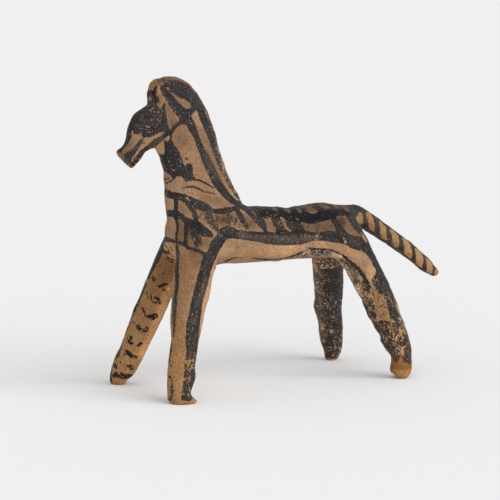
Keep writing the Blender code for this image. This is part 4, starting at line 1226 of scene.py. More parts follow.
@dataclass
class ClaySkin:
    """The horse's fine surface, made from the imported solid."""

    grain: float = 0.63 * MILLIMETRE
    rounding_levels: int = 1
    evening_passes: int = 8
    evening_factor: float = 0.5
    weld: float = 0.01 * MILLIMETRE
    lump_sizes: tuple[float, ...] = (9.0 * MILLIMETRE, 3.4 * MILLIMETRE, 1.5 * MILLIMETRE)
    lump_heights: tuple[float, ...] = (0.24 * MILLIMETRE, 0.16 * MILLIMETRE, 0.09 * MILLIMETRE)
    lump_seed: float = 7.3
    sole_depth: float = 0.35 * MILLIMETRE
    even_foot: float = 1.5 * MILLIMETRE

    def copied(self, node: bpy.types.Object) -> bpy.types.Object:
        """Copies the solid.

        Args:
            node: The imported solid.

        Returns:
            A welded copy as an object of its own.
        """
        shape = bmesh.new()
        shape.from_mesh(node.data)
        bmesh.ops.remove_doubles(shape, verts=shape.verts, dist=self.weld)
        bmesh.ops.recalc_face_normals(shape, faces=shape.faces)
        mesh = bpy.data.meshes.new(PIECE_NAME)
        shape.to_mesh(mesh)
        shape.free()
        piece = bpy.data.objects.new(PIECE_NAME, mesh)
        bpy.context.scene.collection.objects.link(piece)
        return piece

    def refined(self, piece: bpy.types.Object) -> None:
        """Gives the piece a fine even skin with the solid's facets rounded away.

        Args:
            piece: The copy of the solid.
        """
        rounding = piece.modifiers.new("rounding", "SUBSURF")
        rounding.levels = self.rounding_levels
        rounding.render_levels = self.rounding_levels
        skin = piece.modifiers.new("skin", "REMESH")
        skin.mode = "VOXEL"
        skin.voxel_size = self.grain
        evening = piece.modifiers.new("evening", "SMOOTH")
        evening.iterations = self.evening_passes
        evening.factor = self.evening_factor
        graph = bpy.context.evaluated_depsgraph_get()
        fine = bpy.data.meshes.new_from_object(piece.evaluated_get(graph))
        piece.modifiers.clear()
        coarse = piece.data
        piece.data = fine
        bpy.data.meshes.remove(coarse)
        fine.name = PIECE_NAME

    def read(self, piece: bpy.types.Object) -> tuple[np.ndarray, np.ndarray]:
        """Reads the piece's points.

        Args:
            piece: The skin.

        Returns:
            The points' places and their outward directions, one a row.
        """
        vertices = piece.data.vertices
        places = np.zeros(len(vertices) * 3)
        outward = np.zeros(len(vertices) * 3)
        vertices.foreach_get("co", places)
        vertices.foreach_get("normal", outward)
        return places.reshape(-1, 3), outward.reshape(-1, 3)

    def write(self, piece: bpy.types.Object, places: np.ndarray) -> None:
        """Moves the piece's points to new places."""
        piece.data.vertices.foreach_set("co", places.astype(np.float32).ravel())
        piece.data.update()

    def nudged(self, places: np.ndarray, parts: np.ndarray, view: PhotoView) -> np.ndarray:
        """Pushes the skin as the nudges say.

        Args:
            places: Points in metres, one a row.
            parts: Each point's part.
            view: The photograph's camera.

        Returns:
            The pushed points.
        """
        right, up, _ = view.axes()
        spots = view.project(places)
        moved = places.copy()
        for nudge in NUDGES:
            push = touched(nudge, spots, parts)[:, None] / view.pixels_per_metre
            moved += push * (nudge.right * right - nudge.down * up)
        return moved

    def lumps(self, places: np.ndarray) -> np.ndarray:
        """Works out the hand's unevenness.

        Args:
            places: Points in metres, one a row.

        Returns:
            Its height at each point, in metres.
        """
        height = np.zeros(len(places))
        for count, (size, rise) in enumerate(zip(self.lump_sizes, self.lump_heights), start=1):
            height += rise * rough_field(places, size, self.lump_seed * count)
        return height


@dataclass
class Painting:
    """Lays the painter's marks on the skin, as the photograph shows them, and washes that also hold painted
    highlights, shade and reflection.
    """

    view: PhotoView
    tail_root: tuple[float, float] = (0.0441, 0.0717)
    tail_tip: tuple[float, float] = (0.0865, 0.0430)
    tail_girth: float = 0.0085
    leg_top: float = 0.0575
    leg_rings: int = 14
    fore_end: float = -0.02
    turn_start: float = -0.04
    turn_end: float = 0.12
    reach: float = 9.0
    wear_reach: float = 1.0
    plain_wear: float = 0.3
    plain_thin: float = 0.15
    plain_soot: float = 0.12
    spared_share: float = 0.5
    nape_low: float = 0.088
    nape_high: float = 0.098
    brow: float = -0.0745
    ridge_start: float = 0.45
    ridge_end: float = 0.70
    rub_back: float = 0.75
    rub_up: float = 0.65
    rub_start: float = 0.1
    rub_end: float = 0.5

    def parts(self, places: np.ndarray) -> np.ndarray:
        """Tells which part each point belongs to.

        Args:
            places: Points in metres, one a row.

        Returns:
            The part's number for each point.
        """
        found = np.full(len(places), Part.BODY.value)
        fore = places[:, 0] < self.fore_end
        near = places[:, 1] < 0.0
        low = places[:, 2] < self.leg_top
        found[low & fore & near] = Part.NEAR_FORE.value
        found[low & fore & ~near] = Part.FAR_FORE.value
        found[low & ~fore & near] = Part.NEAR_HIND.value
        found[low & ~fore & ~near] = Part.FAR_HIND.value
        root = np.array(self.tail_root)
        run = np.array(self.tail_tip) - root
        length = float(np.linalg.norm(run))
        side_view = places[:, [0, 2]] - root
        along = side_view @ run / length
        away = np.abs(side_view @ np.array([-run[1], run[0]]) / length)
        slim = (away < self.tail_girth) & (np.abs(places[:, 1]) < self.tail_girth)
        found[(along > 0.0) & slim] = Part.TAIL.value
        return found

    def leg_lines(self, places: np.ndarray, parts: np.ndarray) -> dict[int, tuple[np.ndarray, np.ndarray]]:
        """Finds the middle of each leg at every height.

        Args:
            places: Points in metres, one a row.
            parts: Each point's part.

        Returns:
            For each leg, the heights and the middles there.
        """
        lines = {}
        edges = np.linspace(0.0, self.leg_top, self.leg_rings + 1)
        for leg in (Part.NEAR_FORE, Part.FAR_FORE, Part.NEAR_HIND, Part.FAR_HIND):
            own = places[parts == leg.value]
            heights = []
            middles = []
            for low, high in zip(edges[:-1], edges[1:]):
                ring = own[(own[:, 2] >= low) & (own[:, 2] < high)]
                if len(ring):
                    heights.append(0.5 * (low + high))
                    middles.append(0.5 * (ring.min(axis=0) + ring.max(axis=0)))
            lines[leg.value] = (np.array(heights), np.array(middles))
        return lines

    def mirrored(self, places: np.ndarray, parts: np.ndarray) -> tuple[np.ndarray, np.ndarray]:
        """Takes each point to its like on the other side of the horse.

        Args:
            places: Points in metres, one a row.
            parts: Each point's part.

        Returns:
            The mirrored points and the parts that they fall on.
        """
        pairs = ((Part.NEAR_FORE, Part.FAR_FORE), (Part.NEAR_HIND, Part.FAR_HIND))
        lines = self.leg_lines(places, parts)
        flipped = places * np.array([1.0, -1.0, 1.0])
        across = parts.copy()
        for own, other in pairs + tuple(pair[::-1] for pair in pairs):
            rows = parts == own.value
            heights, middles = lines[own.value]
            there_heights, there_middles = lines[other.value]
            for axis, turn in ((0, 1.0), (1, -1.0)):
                here = np.interp(places[rows, 2], heights, middles[:, axis])
                there = np.interp(places[rows, 2], there_heights, there_middles[:, axis])
                flipped[rows, axis] = there + turn * (places[rows, axis] - here)
            across[rows] = other.value
        return flipped, across

    def laid(self, spots: np.ndarray, parts: np.ndarray) -> tuple[np.ndarray, np.ndarray]:
        """Lays every mark, in the order in which they are listed.

        Args:
            spots: The points' places in the frame, in pixels.
            parts: Each point's part.

        Returns:
            The distance from the nearest edge of slip, in pixels and below zero inside it,
            and how worn the slip is.
        """
        edge = np.full(len(spots), self.reach)
        wear = np.full(len(spots), self.plain_wear)
        for mark in MARKS:
            rows = within_reach(mark.points, mark.parts, self.reach, spots, parts)
            away = mark.distance(spots[rows])
            if mark.layer is Layer.SLIP:
                newest = away < np.minimum(edge[rows], self.wear_reach)
                wear[rows] = np.where(newest, mark.wear, wear[rows])
                edge[rows] = np.minimum(edge[rows], away)
            else:
                edge[rows] = np.maximum(edge[rows], -away)
        return np.clip(edge, -self.reach, self.reach), wear

    def washed(self, spots: np.ndarray, parts: np.ndarray) -> dict[str, np.ndarray]:
        """Lays every wash.

        Args:
            spots: The points' places in the frame, in pixels.
            parts: Each point's part.

        Returns:
            The clay's tints with painted highlights, shade and reflection, what the washes add to the wear,
            how thin the slip is (below zero where it is thick), and how many crumbs lie on the clay.
        """
        tint_and_light = np.ones((len(spots), 3))
        worn = np.zeros(len(spots))
        thin = np.full(len(spots), self.plain_thin)
        soot = np.full(len(spots), self.plain_soot)
        for wash in WASHES:
            rows = within_reach(wash.points, wash.parts, wash.margin(), spots, parts)
            share = wash.share(spots[rows])
            if wash.tone is Tone.THIN:
                thin[rows] = np.maximum(thin[rows], share)
            elif wash.tone is Tone.DEEP:
                thin[rows] -= share
            elif wash.tone is Tone.WORN:
                worn[rows] += share
            elif wash.tone is Tone.SPARED:
                worn[rows] -= self.spared_share * share
            elif wash.tone is Tone.SOOTED:
                soot[rows] = np.maximum(soot[rows], share)
            else:
                # colour tones, and also painted highlights, shade and reflection, multiply the tints
                tint_and_light[rows] *= 1.0 + share[:, None] * (np.array(wash.tone.value) - 1.0)
        return dict(zip(TINTS_AND_LIGHT, tint_and_light.T)) | {"worn": worn, "thin": thin, "soot": soot}

    def coat(self, spots: np.ndarray, parts: np.ndarray) -> dict[str, np.ndarray]:
        """Lays the marks and the washes together.

        Args:
            spots: The points' places in the frame, in pixels.
            parts: Each point's part.

        Returns:
            The values of each attribute, as this view of the frame gives them.
        """
        coat = self.washed(spots, parts)
        edge, wear = self.laid(spots, parts)
        coat["slip"] = edge * METRE_IN_MILLIMETRES / self.view.pixels_per_metre
        coat["wear"] = wear + coat.pop("worn")
        return coat

    def facing(self, outward: np.ndarray) -> np.ndarray:
        """Returns how far each point faces the photograph's camera, from 0 to 1."""
        return smooth_step(self.turn_start, self.turn_end, outward @ self.view.axes()[2])

    def crest_rub(self, places: np.ndarray, outward: np.ndarray) -> np.ndarray:
        """Works out how far the ridge of the crest and the nape is rubbed.

        Args:
            places: Points in metres, one a row.
            outward: Their outward directions.

        Returns:
            Shares from 0 to 1.
        """
        ridge = smooth_step(self.ridge_start, self.ridge_end, np.hypot(outward[:, 0], outward[:, 2]))
        rubbed = self.rub_back * outward[:, 0] + self.rub_up * outward[:, 2]
        upward = smooth_step(self.rub_start, self.rub_end, rubbed)
        high = smooth_step(self.nape_low, self.nape_high, places[:, 2])
        return ridge * upward * high * (places[:, 0] > self.brow)

    def painted(self, places: np.ndarray, outward: np.ndarray) -> dict[str, np.ndarray]:
        """Works out the paint on the whole skin.

        Args:
            places: Points in metres, one a row.
            outward: Their outward directions.

        Returns:
            The values of each attribute that the finish reads.
        """
        parts = self.parts(places)
        flipped, across = self.mirrored(places, parts)
        seen = self.coat(self.view.project(places), parts)
        unseen = self.coat(self.view.project(flipped), across)
        share = self.facing(outward)
        values = {name: share * seen[name] + (1.0 - share) * unseen[name] for name in seen}
        values["wear"] = np.clip(values["wear"], 0.0, 1.0)
        values["rub"] = self.crest_rub(places, outward)
        return values


@dataclass(frozen=True)
class Speckle:
    """A cloudy pattern: its spots' size in metres, its finer layers and how strong they are."""

    size: float
    detail: float
    roughness: float
    stretch: tuple[float, float, float] = (1.0, 1.0, 1.0)


@dataclass(frozen=True)
class Ramp:
    """A soft change from start, where a pattern is at low, to end, where it is at high."""

    low: float
    high: float
    start: float = 0.0
    end: float = 1.0


class NodeBench:
    """Lays out the nodes of one finish."""

    mix_first: int = 6
    mix_second: int = 7
    mix_result: int = 2

    def __init__(self, name: str) -> None:
        """Starts an empty material with its shader.

        Args:
            name: What the material is called.
        """
        self.material = bpy.data.materials.new(name)
        self.material.use_nodes = True
        self.tree = self.material.node_tree
        self.tree.nodes.clear()
        self.shader = self.tree.nodes.new("ShaderNodeBsdfPrincipled")
        output = self.tree.nodes.new("ShaderNodeOutputMaterial")
        self.tree.links.new(self.shader.outputs["BSDF"], output.inputs["Surface"])
        self.place = self.tree.nodes.new("ShaderNodeTexCoord").outputs["Object"]

    def feed(self, socket: Socket, value: object) -> None:
        """Joins a socket to another, or sets its value.

        Args:
            socket: The socket that is fed.
            value: Another socket, or a number or colour.
        """
        if isinstance(value, Socket):
            self.tree.links.new(value, socket)
        else:
            socket.default_value = value

    def attribute(self, name: str) -> Socket:
        """Finds a value that the skin carries.

        Args:
            name: The value's name.

        Returns:
            The value.
        """
        node = self.tree.nodes.new("ShaderNodeAttribute")
        node.attribute_name = name
        return node.outputs["Fac"]

    def speckle(self, pattern: Speckle) -> Socket:
        """Makes a cloudy pattern.

        Args:
            pattern: What it is like.

        Returns:
            The pattern, from 0 to 1.
        """
        mapping = self.tree.nodes.new("ShaderNodeMapping")
        self.tree.links.new(self.place, mapping.inputs["Vector"])
        mapping.inputs["Scale"].default_value = pattern.stretch
        node = self.tree.nodes.new("ShaderNodeTexNoise")
        self.tree.links.new(mapping.outputs["Vector"], node.inputs["Vector"])
        node.inputs["Scale"].default_value = 1.0 / pattern.size
        node.inputs["Detail"].default_value = pattern.detail
        node.inputs["Roughness"].default_value = pattern.roughness
        return node.outputs["Fac"]

    def crumbs(self, size: float) -> tuple[Socket, Socket]:
        """Scatters points all over.

        Args:
            size: The distance between them in metres.

        Returns:
            How far the nearest of them is, in shares of size, and its luck from 0 to 1.
        """
        node = self.tree.nodes.new("ShaderNodeTexVoronoi")
        self.tree.links.new(self.place, node.inputs["Vector"])
        node.inputs["Scale"].default_value = 1.0 / size
        split = self.tree.nodes.new("ShaderNodeSeparateColor")
        self.tree.links.new(node.outputs["Color"], split.inputs[0])
        return node.outputs["Distance"], split.outputs[0]

    def math(self, operation: str, *values: object) -> Socket:
        """Works out one sum.

        Args:
            operation: The sum's name.
            values: What goes into it.

        Returns:
            Its outcome.
        """
        node = self.tree.nodes.new("ShaderNodeMath")
        node.operation = operation
        for socket, value in zip(node.inputs, values):
            self.feed(socket, value)
        return node.outputs[0]

    def rise(self, value: object, low: object, high: object, start: float = 0.0, end: float = 1.0) -> Socket:
        """Makes a soft change between two values.

        Args:
            value: What drives it.
            low: Where it starts.
            high: Where it ends.
            start: The outcome at low.
            end: The outcome at high.

        Returns:
            The outcome.
        """
        node = self.tree.nodes.new("ShaderNodeMapRange")
        node.interpolation_type = "SMOOTHSTEP"
        names = ("Value", "From Min", "From Max", "To Min", "To Max")
        for name, fed in zip(names, (value, low, high, start, end)):
            self.feed(node.inputs[name], fed)
        return node.outputs["Result"]

    def ramp(self, value: object, ramp: Ramp) -> Socket:
        """Returns a value sent through a ramp."""
        return self.rise(value, ramp.low, ramp.high, ramp.start, ramp.end)

    def mix(self, share: object, first: object, second: object, blend: str = "MIX") -> Socket:
        """Blends two colours.

        Args:
            share: How much of the blend shows, from 0 to 1.
            first: The colour below.
            second: The colour on it.
            blend: How the second is laid on the first.

        Returns:
            The blended colour.
        """
        node = self.tree.nodes.new("ShaderNodeMix")
        node.data_type = "RGBA"
        node.blend_type = blend
        self.feed(node.inputs[0], share)
        self.feed(node.inputs[self.mix_first], first)
        self.feed(node.inputs[self.mix_second], second)
        return node.outputs[self.mix_result]

    def tinted_and_lit(self, colour: object) -> Socket:
        """Multiplies a colour by the tints that the skin carries, painted highlights, shade and reflection
        among them.

        Args:
            colour: The colour.

        Returns:
            The tinted colour.
        """
        shares = self.tree.nodes.new("ShaderNodeCombineColor")
        for socket, name in zip(shares.inputs, TINTS_AND_LIGHT):
            self.tree.links.new(self.attribute(name), socket)
        return self.mix(1.0, colour, shares.outputs[0], "MULTIPLY")

    def bump(self, height: object, depth: float) -> Socket:
        """Lays fine relief on the surface.

        Args:
            height: The relief.
            depth: The height in metres that 1 stands for.

        Returns:
            The new surface direction.
        """
        node = self.tree.nodes.new("ShaderNodeBump")
        node.inputs["Strength"].default_value = 1.0
        node.inputs["Distance"].default_value = depth
        self.feed(node.inputs["Height"], height)
        return node.outputs["Normal"]


def tone(red: int, green: int, blue: int) -> Colour:
    """Turns a screen colour from 0 to 255 into the light that it stands for.

    Args:
        red: The red channel.
        green: The green channel.
        blue: The blue channel.

    Returns:
        The light of each channel, and a full cover.
    """

    def channel(value: float) -> float:
        """Returns one channel's light."""
        share = value / 255.0
        return share / 12.92 if share <= 0.04045 else ((share + 0.055) / 1.055) ** 2.4

    return channel(red), channel(green), channel(blue), 1.0


@dataclass(frozen=True)
class PaintedClay:
    """Light brown fired clay with a worn coat of dark slip, and painted highlights and shade on the clay."""

    clay_light: Colour = tone(178, 142, 109)
    clay_middle: Colour = tone(149, 116, 87)
    clay_dark: Colour = tone(98, 73, 52)
    clay_fleck: Colour = tone(58, 43, 33)
    clay_speck: Colour = tone(214, 190, 160)
    slip_dark: Colour = tone(17, 20, 24)
    slip_middle: Colour = tone(35, 36, 40)
    slip_black: Colour = tone(14, 15, 16)
    slip_thin: Colour = tone(98, 85, 74)
    slip_brown: Colour = tone(70, 61, 56)
    slip_frost: Colour = tone(128, 120, 112)
    crumb: Colour = tone(54, 50, 47)
    rubbed: Colour = tone(140, 102, 66)
    chip_pale: Colour = tone(204, 164, 118)
    pit_pale: Colour = tone(204, 180, 148)
    clay_clouds: Speckle = Speckle(9.0 * MILLIMETRE, 4.0, 0.6)
    clay_clouded: Ramp = Ramp(0.38, 0.64, 0.2, 0.7)
    clay_grain: Speckle = Speckle(0.9 * MILLIMETRE, 6.0, 0.80)
    grain_dark: Ramp = Ramp(0.50, 0.36, 0.0, 0.8)
    grain_light: Ramp = Ramp(0.54, 0.66, 0.0, 0.8)
    clay_flecks: Speckle = Speckle(0.6 * MILLIMETRE, 2.0, 0.5)
    fleck_dark: Ramp = Ramp(0.34, 0.27, 0.0, 0.8)
    fleck_light: Ramp = Ramp(0.70, 0.76, 0.0, 0.6)
    clay_smears: Speckle = Speckle(1.6 * MILLIMETRE, 6.0, 0.78)
    crumb_start: float = 0.72
    crumb_by_soot: float = 0.30
    crumb_edge: float = 0.10
    crumb_cover: float = 0.9
    slip_clouds: Speckle = Speckle(5.0 * MILLIMETRE, 4.0, 0.6)
    slip_clouded: Ramp = Ramp(0.38, 0.62)
    slip_grain: Speckle = Speckle(0.9 * MILLIMETRE, 6.0, 0.78)
    slip_browned: Ramp = Ramp(0.50, 0.62, 0.0, 0.9)
    slip_frosting: Speckle = Speckle(0.5 * MILLIMETRE, 2.0, 0.6)
    slip_frosted: Ramp = Ramp(0.58, 0.70, 0.0, 0.6)
    slip_strands: Speckle = Speckle(1.3 * MILLIMETRE, 5.0, 0.75)
    slip_stranded: Ramp = Ramp(0.42, 0.58, 0.25, 1.0)
    slip_thinned: Ramp = Ramp(0.0, 1.0)
    slip_thickened: Ramp = Ramp(0.0, -0.7, 0.0, 0.85)
    thin_by_wear: float = 0.25
    flakes: Speckle = Speckle(2.4 * MILLIMETRE, 8.0, 0.80)
    flake_streaks: Speckle = Speckle(2.4 * MILLIMETRE, 8.0, 0.80, (1.0, 1.0, 0.3))
    flake_clusters: Speckle = Speckle(6.0 * MILLIMETRE, 3.0, 0.6)
    streak_lag: float = 0.015
    cluster_share: float = 0.25
    flake_start: float = 0.655
    flake_by_wear: float = 0.190
    flake_edge: float = 0.015
    pit_sizes: tuple[float, ...] = (0.7 * MILLIMETRE, 1.2 * MILLIMETRE)
    pit_chances: tuple[float, ...] = (0.12, 0.03)
    pit_herds: Speckle = Speckle(7.0 * MILLIMETRE, 3.0, 0.6)
    pit_herded: Ramp = Ramp(0.40, 0.62, 0.35, 1.8)
    pit_by_wear: float = 0.45
    pit_least: float = 0.22
    pit_growth: float = 0.50
    pit_edge: float = 0.10
    pit_cover: float = 0.9
    edge_rags: Speckle = Speckle(1.2 * MILLIMETRE, 6.0, 0.74)
    edge_rough: float = 1.5
    edge_by_wear: float = 2.6
    edge_drawn: Ramp = Ramp(0.04, -0.04)
    chip_shades: Speckle = Speckle(1.8 * MILLIMETRE, 3.0, 0.6)
    chip_lit: Ramp = Ramp(0.44, 0.64)
    rub_patches: Speckle = Speckle(1.2 * MILLIMETRE, 4.0, 0.7)
    rub_patched: Ramp = Ramp(0.38, 0.56, 0.15, 1.0)
    sheen: Ramp = Ramp(0.0, 1.0, 0.85, 0.50)
    gloss: float = 0.10
    fine_relief: Speckle = Speckle(0.6 * MILLIMETRE, 5.0, 0.68)
    fine_share: float = 0.7
    coarse_relief: Speckle = Speckle(2.0 * MILLIMETRE, 3.0, 0.6)
    coarse_share: float = 1.4
    slip_share: float = 0.35
    relief_depth: float = 0.65 * MILLIMETRE

    def clay(self, bench: NodeBench) -> Socket:
        """Mixes the bare clay's colour, with the painted highlights, shade and reflection in its tints.

        Args:
            bench: The material's nodes.

        Returns:
            The colour.
        """
        clouds = bench.speckle(self.clay_clouds)
        grain = bench.speckle(self.clay_grain)
        flecks = bench.speckle(self.clay_flecks)
        colour = bench.mix(bench.ramp(clouds, self.clay_clouded), self.clay_middle, self.clay_light)
        colour = bench.mix(bench.ramp(grain, self.grain_dark), colour, self.clay_dark)
        colour = bench.mix(bench.ramp(grain, self.grain_light), colour, self.clay_light)
        colour = bench.mix(bench.ramp(flecks, self.fleck_dark), colour, self.clay_fleck)
        colour = bench.mix(bench.ramp(flecks, self.fleck_light), colour, self.clay_speck)
        # the skin's tints, painted highlights, shade and reflection among them
        colour = bench.tinted_and_lit(colour)
        less = bench.math("MULTIPLY", bench.attribute("soot"), self.crumb_by_soot)
        start = bench.math("SUBTRACT", self.crumb_start, less)
        end = bench.math("ADD", start, self.crumb_edge)
        crumbs = bench.rise(bench.speckle(self.clay_smears), start, end, 0.0, self.crumb_cover)
        return bench.mix(crumbs, colour, self.crumb)

    def slip(self, bench: NodeBench, wear: Socket) -> Socket:
        """Mixes the slip's colour, browner where it is thin.

        Args:
            bench: The material's nodes.
            wear: How worn the slip is.

        Returns:
            The colour.
        """
        thin = bench.attribute("thin")
        clouds = bench.speckle(self.slip_clouds)
        colour = bench.mix(bench.ramp(clouds, self.slip_clouded), self.slip_dark, self.slip_middle)
        grain = bench.speckle(self.slip_grain)
        colour = bench.mix(bench.ramp(grain, self.slip_browned), colour, self.slip_brown)
        frost = bench.speckle(self.slip_frosting)
        colour = bench.mix(bench.ramp(frost, self.slip_frosted), colour, self.slip_frost)
        strands = bench.ramp(bench.speckle(self.slip_strands), self.slip_stranded)
        veil = bench.math("MULTIPLY", bench.ramp(thin, self.slip_thinned), strands)
        colour = bench.mix(veil, colour, self.slip_thin)
        colour = bench.mix(bench.math("MULTIPLY", wear, self.thin_by_wear), colour, self.slip_thin)
        return bench.mix(bench.ramp(thin, self.slip_thickened), colour, self.slip_black)

    def flaked(self, bench: NodeBench, wear: Socket) -> Socket:
        """Finds where the slip has flaked off.

        Args:
            bench: The material's nodes.
            wear: How worn the slip is.

        Returns:
            The flakes, from 0 to 1.
        """
        streaks = bench.math("SUBTRACT", bench.speckle(self.flake_streaks), self.streak_lag)
        worst = bench.math("MAXIMUM", bench.speckle(self.flakes), streaks)
        clusters = bench.math("SUBTRACT", bench.speckle(self.flake_clusters), 0.5)
        worst = bench.math("ADD", worst, bench.math("MULTIPLY", clusters, self.cluster_share))
        less = bench.math("MULTIPLY", wear, self.flake_by_wear)
        start = bench.math("SUBTRACT", self.flake_start, less)
        return bench.rise(worst, start, bench.math("ADD", start, self.flake_edge))

    def pitted(self, bench: NodeBench, wear: Socket, size: float, chance: float) -> Socket:
        """Finds where small pits break the slip.

        Args:
            bench: The material's nodes.
            wear: How worn the slip is.
            size: The distance between pits in metres.
            chance: The share of them that is there where the slip is whole.

        Returns:
            The pits, from 0 to 1.
        """
        away, luck = bench.crumbs(size)
        herd = bench.ramp(bench.speckle(self.pit_herds), self.pit_herded)
        share = bench.math("MULTIPLY", bench.math("MULTIPLY_ADD", wear, self.pit_by_wear, chance), herd)
        found = bench.math("LESS_THAN", luck, share)
        reach = bench.math("MULTIPLY_ADD", luck, self.pit_growth, self.pit_least)
        rim = bench.math("SUBTRACT", reach, self.pit_edge)
        return bench.math("MULTIPLY", found, bench.rise(away, reach, rim, 0.0, self.pit_cover))

    def coated(self, bench: NodeBench, wear: Socket) -> Socket:
        """Finds where the painter laid slip, with a ragged edge.

        Args:
            bench: The material's nodes.
            wear: How worn the slip is.

        Returns:
            The coat, from 0 to 1.
        """
        rags = bench.math("SUBTRACT", bench.speckle(self.edge_rags), 0.5)
        rough = bench.math("MULTIPLY_ADD", wear, self.edge_by_wear, self.edge_rough)
        edge = bench.math("ADD", bench.attribute("slip"), bench.math("MULTIPLY", rags, rough))
        return bench.ramp(edge, self.edge_drawn)

    def relief(self, bench: NodeBench, kept: Socket) -> Socket:
        """Makes the grain of the surface, with the slip standing a little proud.

        Args:
            bench: The material's nodes.
            kept: Where slip is left.

        Returns:
            The surface direction.
        """
        fine = bench.math("MULTIPLY", bench.speckle(self.fine_relief), self.fine_share)
        coarse = bench.math("MULTIPLY", bench.speckle(self.coarse_relief), self.coarse_share)
        proud = bench.math("MULTIPLY", kept, self.slip_share)
        height = bench.math("ADD", bench.math("ADD", fine, coarse), proud)
        return bench.bump(height, self.relief_depth)

    def make(self) -> bpy.types.Material:
        """Puts the clay, the slip and their wear together.

        Returns:
            The finished material.
        """
        bench = NodeBench("painted_clay")
        wear = bench.attribute("wear")
        coat = self.coated(bench, wear)
        flaked = self.flaked(bench, wear)
        kinds = zip(self.pit_sizes, self.pit_chances)
        pits = bench.math("MAXIMUM", *(self.pitted(bench, wear, size, chance) for size, chance in kinds))
        clay = self.clay(bench)
        shades = bench.ramp(bench.speckle(self.chip_shades), self.chip_lit)
        chips = bench.mix(shades, clay, bench.tinted_and_lit(self.chip_pale))
        colour = bench.mix(flaked, self.slip(bench, wear), chips)
        colour = bench.mix(pits, colour, bench.tinted_and_lit(self.pit_pale))
        colour = bench.mix(coat, clay, colour)
        patches = bench.ramp(bench.speckle(self.rub_patches), self.rub_patched)
        colour = bench.mix(bench.math("MULTIPLY", bench.attribute("rub"), patches), colour, self.rubbed)
        whole = bench.math("SUBTRACT", 1.0, bench.math("MAXIMUM", flaked, pits))
        kept = bench.math("MULTIPLY", coat, whole)
        bench.feed(bench.shader.inputs["Base Color"], colour)
        bench.feed(bench.shader.inputs["Roughness"], bench.ramp(kept, self.sheen))
        bench.shader.inputs["Specular IOR Level"].default_value = self.gloss
        bench.feed(bench.shader.inputs["Normal"], self.relief(bench, kept))
        return bench.material


@dataclass(frozen=True)
class Lamp:
    """One broad soft lamp, the same all over the floor.

    It has the direction from the horse to the lamp, how wide it looks from there in degrees,
    and its light in watts a square metre.
    """

    name: str
    toward: tuple[float, float, float]
    softness: float
    strength: float

    def hang(self) -> bpy.types.Object:
        """Sets the lamp up in the scene.

        Returns:
            The lamp.
        """
        data = bpy.data.lights.new(self.name, "SUN")
        data.angle = math.radians(self.softness)
        data.energy = self.strength
        lamp = bpy.data.objects.new(self.name, data)
        lamp.rotation_mode = "QUATERNION"
        lamp.rotation_quaternion = (-Vector(self.toward)).to_track_quat("-Z", "Y")
        bpy.context.scene.collection.objects.link(lamp)
        return lamp


@dataclass
class Studio:
    """The pale floor and the soft lamps round the horse."""

    floor_size: float = 12.0
    floor_tone: Colour = (0.86, 0.86, 0.86, 1.0)
    floor_roughness: float = 0.9
    floor_gloss: float = 0.1
    sky_tone: Colour = (1.0, 1.0, 1.0, 1.0)
    sky_strength: float = 0.68
    key: Lamp = Lamp("key", (0.50, -0.85, 0.66), 55.0, 1.65)
    front: Lamp = Lamp("front", (-0.5, -0.9, 0.22), 70.0, 0.55)

    def floor(self) -> bpy.types.Object:
        """Lays the plain floor.

        Returns:
            The floor.
        """
        shape = bmesh.new()
        bmesh.ops.create_grid(shape, x_segments=1, y_segments=1, size=0.5 * self.floor_size)
        mesh = bpy.data.meshes.new("floor")
        shape.to_mesh(mesh)
        shape.free()
        floor = bpy.data.objects.new("floor", mesh)
        bpy.context.scene.collection.objects.link(floor)
        bench = NodeBench("pale_floor")
        bench.shader.inputs["Base Color"].default_value = self.floor_tone
        bench.shader.inputs["Roughness"].default_value = self.floor_roughness
        bench.shader.inputs["Specular IOR Level"].default_value = self.floor_gloss
        mesh.materials.append(bench.material)
        logger.info("floor: %.0f m wide", self.floor_size)
        return floor

    def sky(self) -> None:
        """Fills the room with even pale light."""
        world = bpy.data.worlds.new("studio")
        world.use_nodes = True
        background = world.node_tree.nodes["Background"]
        background.inputs["Color"].default_value = self.sky_tone
        background.inputs["Strength"].default_value = self.sky_strength
        bpy.context.scene.world = world

    def light(self) -> None:
        """Sets up every lamp and how the light is shown."""
        self.sky()
        self.key.hang()
        self.front.hang()
        settings = bpy.context.scene.view_settings
        settings.view_transform = "Standard"
        settings.look = "None"
        settings.exposure = 0.0
        settings.gamma = 1.0


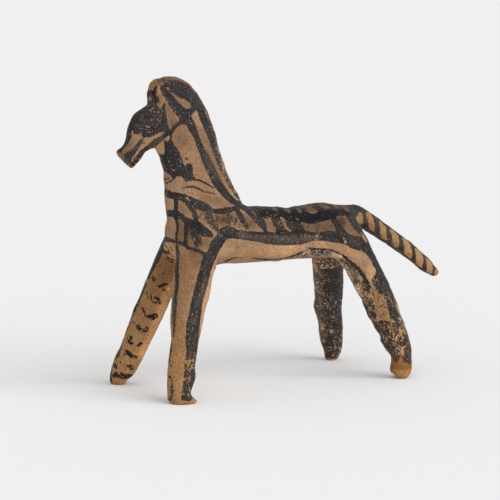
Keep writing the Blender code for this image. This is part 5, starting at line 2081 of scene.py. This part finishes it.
@dataclass
class ClayHorse:
    """The whole figurine: its skin, its dints and its painting."""

    view: PhotoView
    node_name: str = "horse"
    dint_turn: float = 0.25

    def dinted(self, painting: Painting, places: np.ndarray, outward: np.ndarray) -> np.ndarray:
        """Works out how far the dints press the skin in.

        Args:
            painting: Tells the parts apart.
            places: Points in metres, one a row.
            outward: Their outward directions.

        Returns:
            The depth at each point, in metres.
        """
        parts = painting.parts(places)
        flipped, across = painting.mirrored(places, parts)
        toward = self.view.axes()[2]
        depth = np.zeros(len(places))
        for spots, own, face in (
            (self.view.project(places), parts, outward @ toward),
            (self.view.project(flipped), across, (outward * np.array([1.0, -1.0, 1.0])) @ toward),
        ):
            seen = smooth_step(0.0, self.dint_turn, face)
            for dint in DINTS:
                press = touched(dint, spots, own) * seen
                depth = np.maximum(depth, press * dint.depth * MILLIMETRE)
        return depth

    def build(self, frame: dict) -> bpy.types.Object:
        """Makes the horse.


        Returns:
            The finished piece.
        """
        skin = ClaySkin()
        painting = Painting(self.view)
        low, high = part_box(self.node_name)
        piece = skin.copied(frame["nodes"][self.node_name])
        skin.refined(piece)
        places, _ = skin.read(piece)
        skin.write(piece, skin.nudged(places, painting.parts(places), self.view))
        places, outward = skin.read(piece)
        values = painting.painted(places, outward)
        heights = skin.lumps(places) - self.dinted(painting, places, outward)
        heights *= smooth_step(0.0, skin.even_foot, places[:, 2])
        moved = places + outward * heights[:, None]
        moved[:, 2] = np.where(moved[:, 2] < skin.sole_depth, 0.0, moved[:, 2])
        skin.write(piece, np.clip(moved, np.array(low), np.array(high)))
        for name, numbers in values.items():
            attribute = piece.data.attributes.new(name, "FLOAT", "POINT")
            attribute.data.foreach_set("value", numbers.astype(np.float32))
        piece.data.polygons.foreach_set("use_smooth", [True] * len(piece.data.polygons))
        piece.data.materials.clear()
        piece.data.materials.append(PaintedClay().make())
        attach(piece, "root")
        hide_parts(self.node_name)
        counts = (len(piece.data.vertices), len(piece.data.polygons))
        logger.info("%s: %d points, %d faces", PIECE_NAME, *counts)
        return piece


def main() -> None:
    """Builds the camera, the floor, the lamps and the horse."""
    logging.basicConfig(level=logging.INFO, format="%(message)s")
    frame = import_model()
    view = PhotoView()
    view.make_camera()
    studio = Studio()
    studio.floor()
    studio.light()
    ClayHorse(view).build(frame)
    logger.info("size kept")


if __name__ == "__main__":
    main()
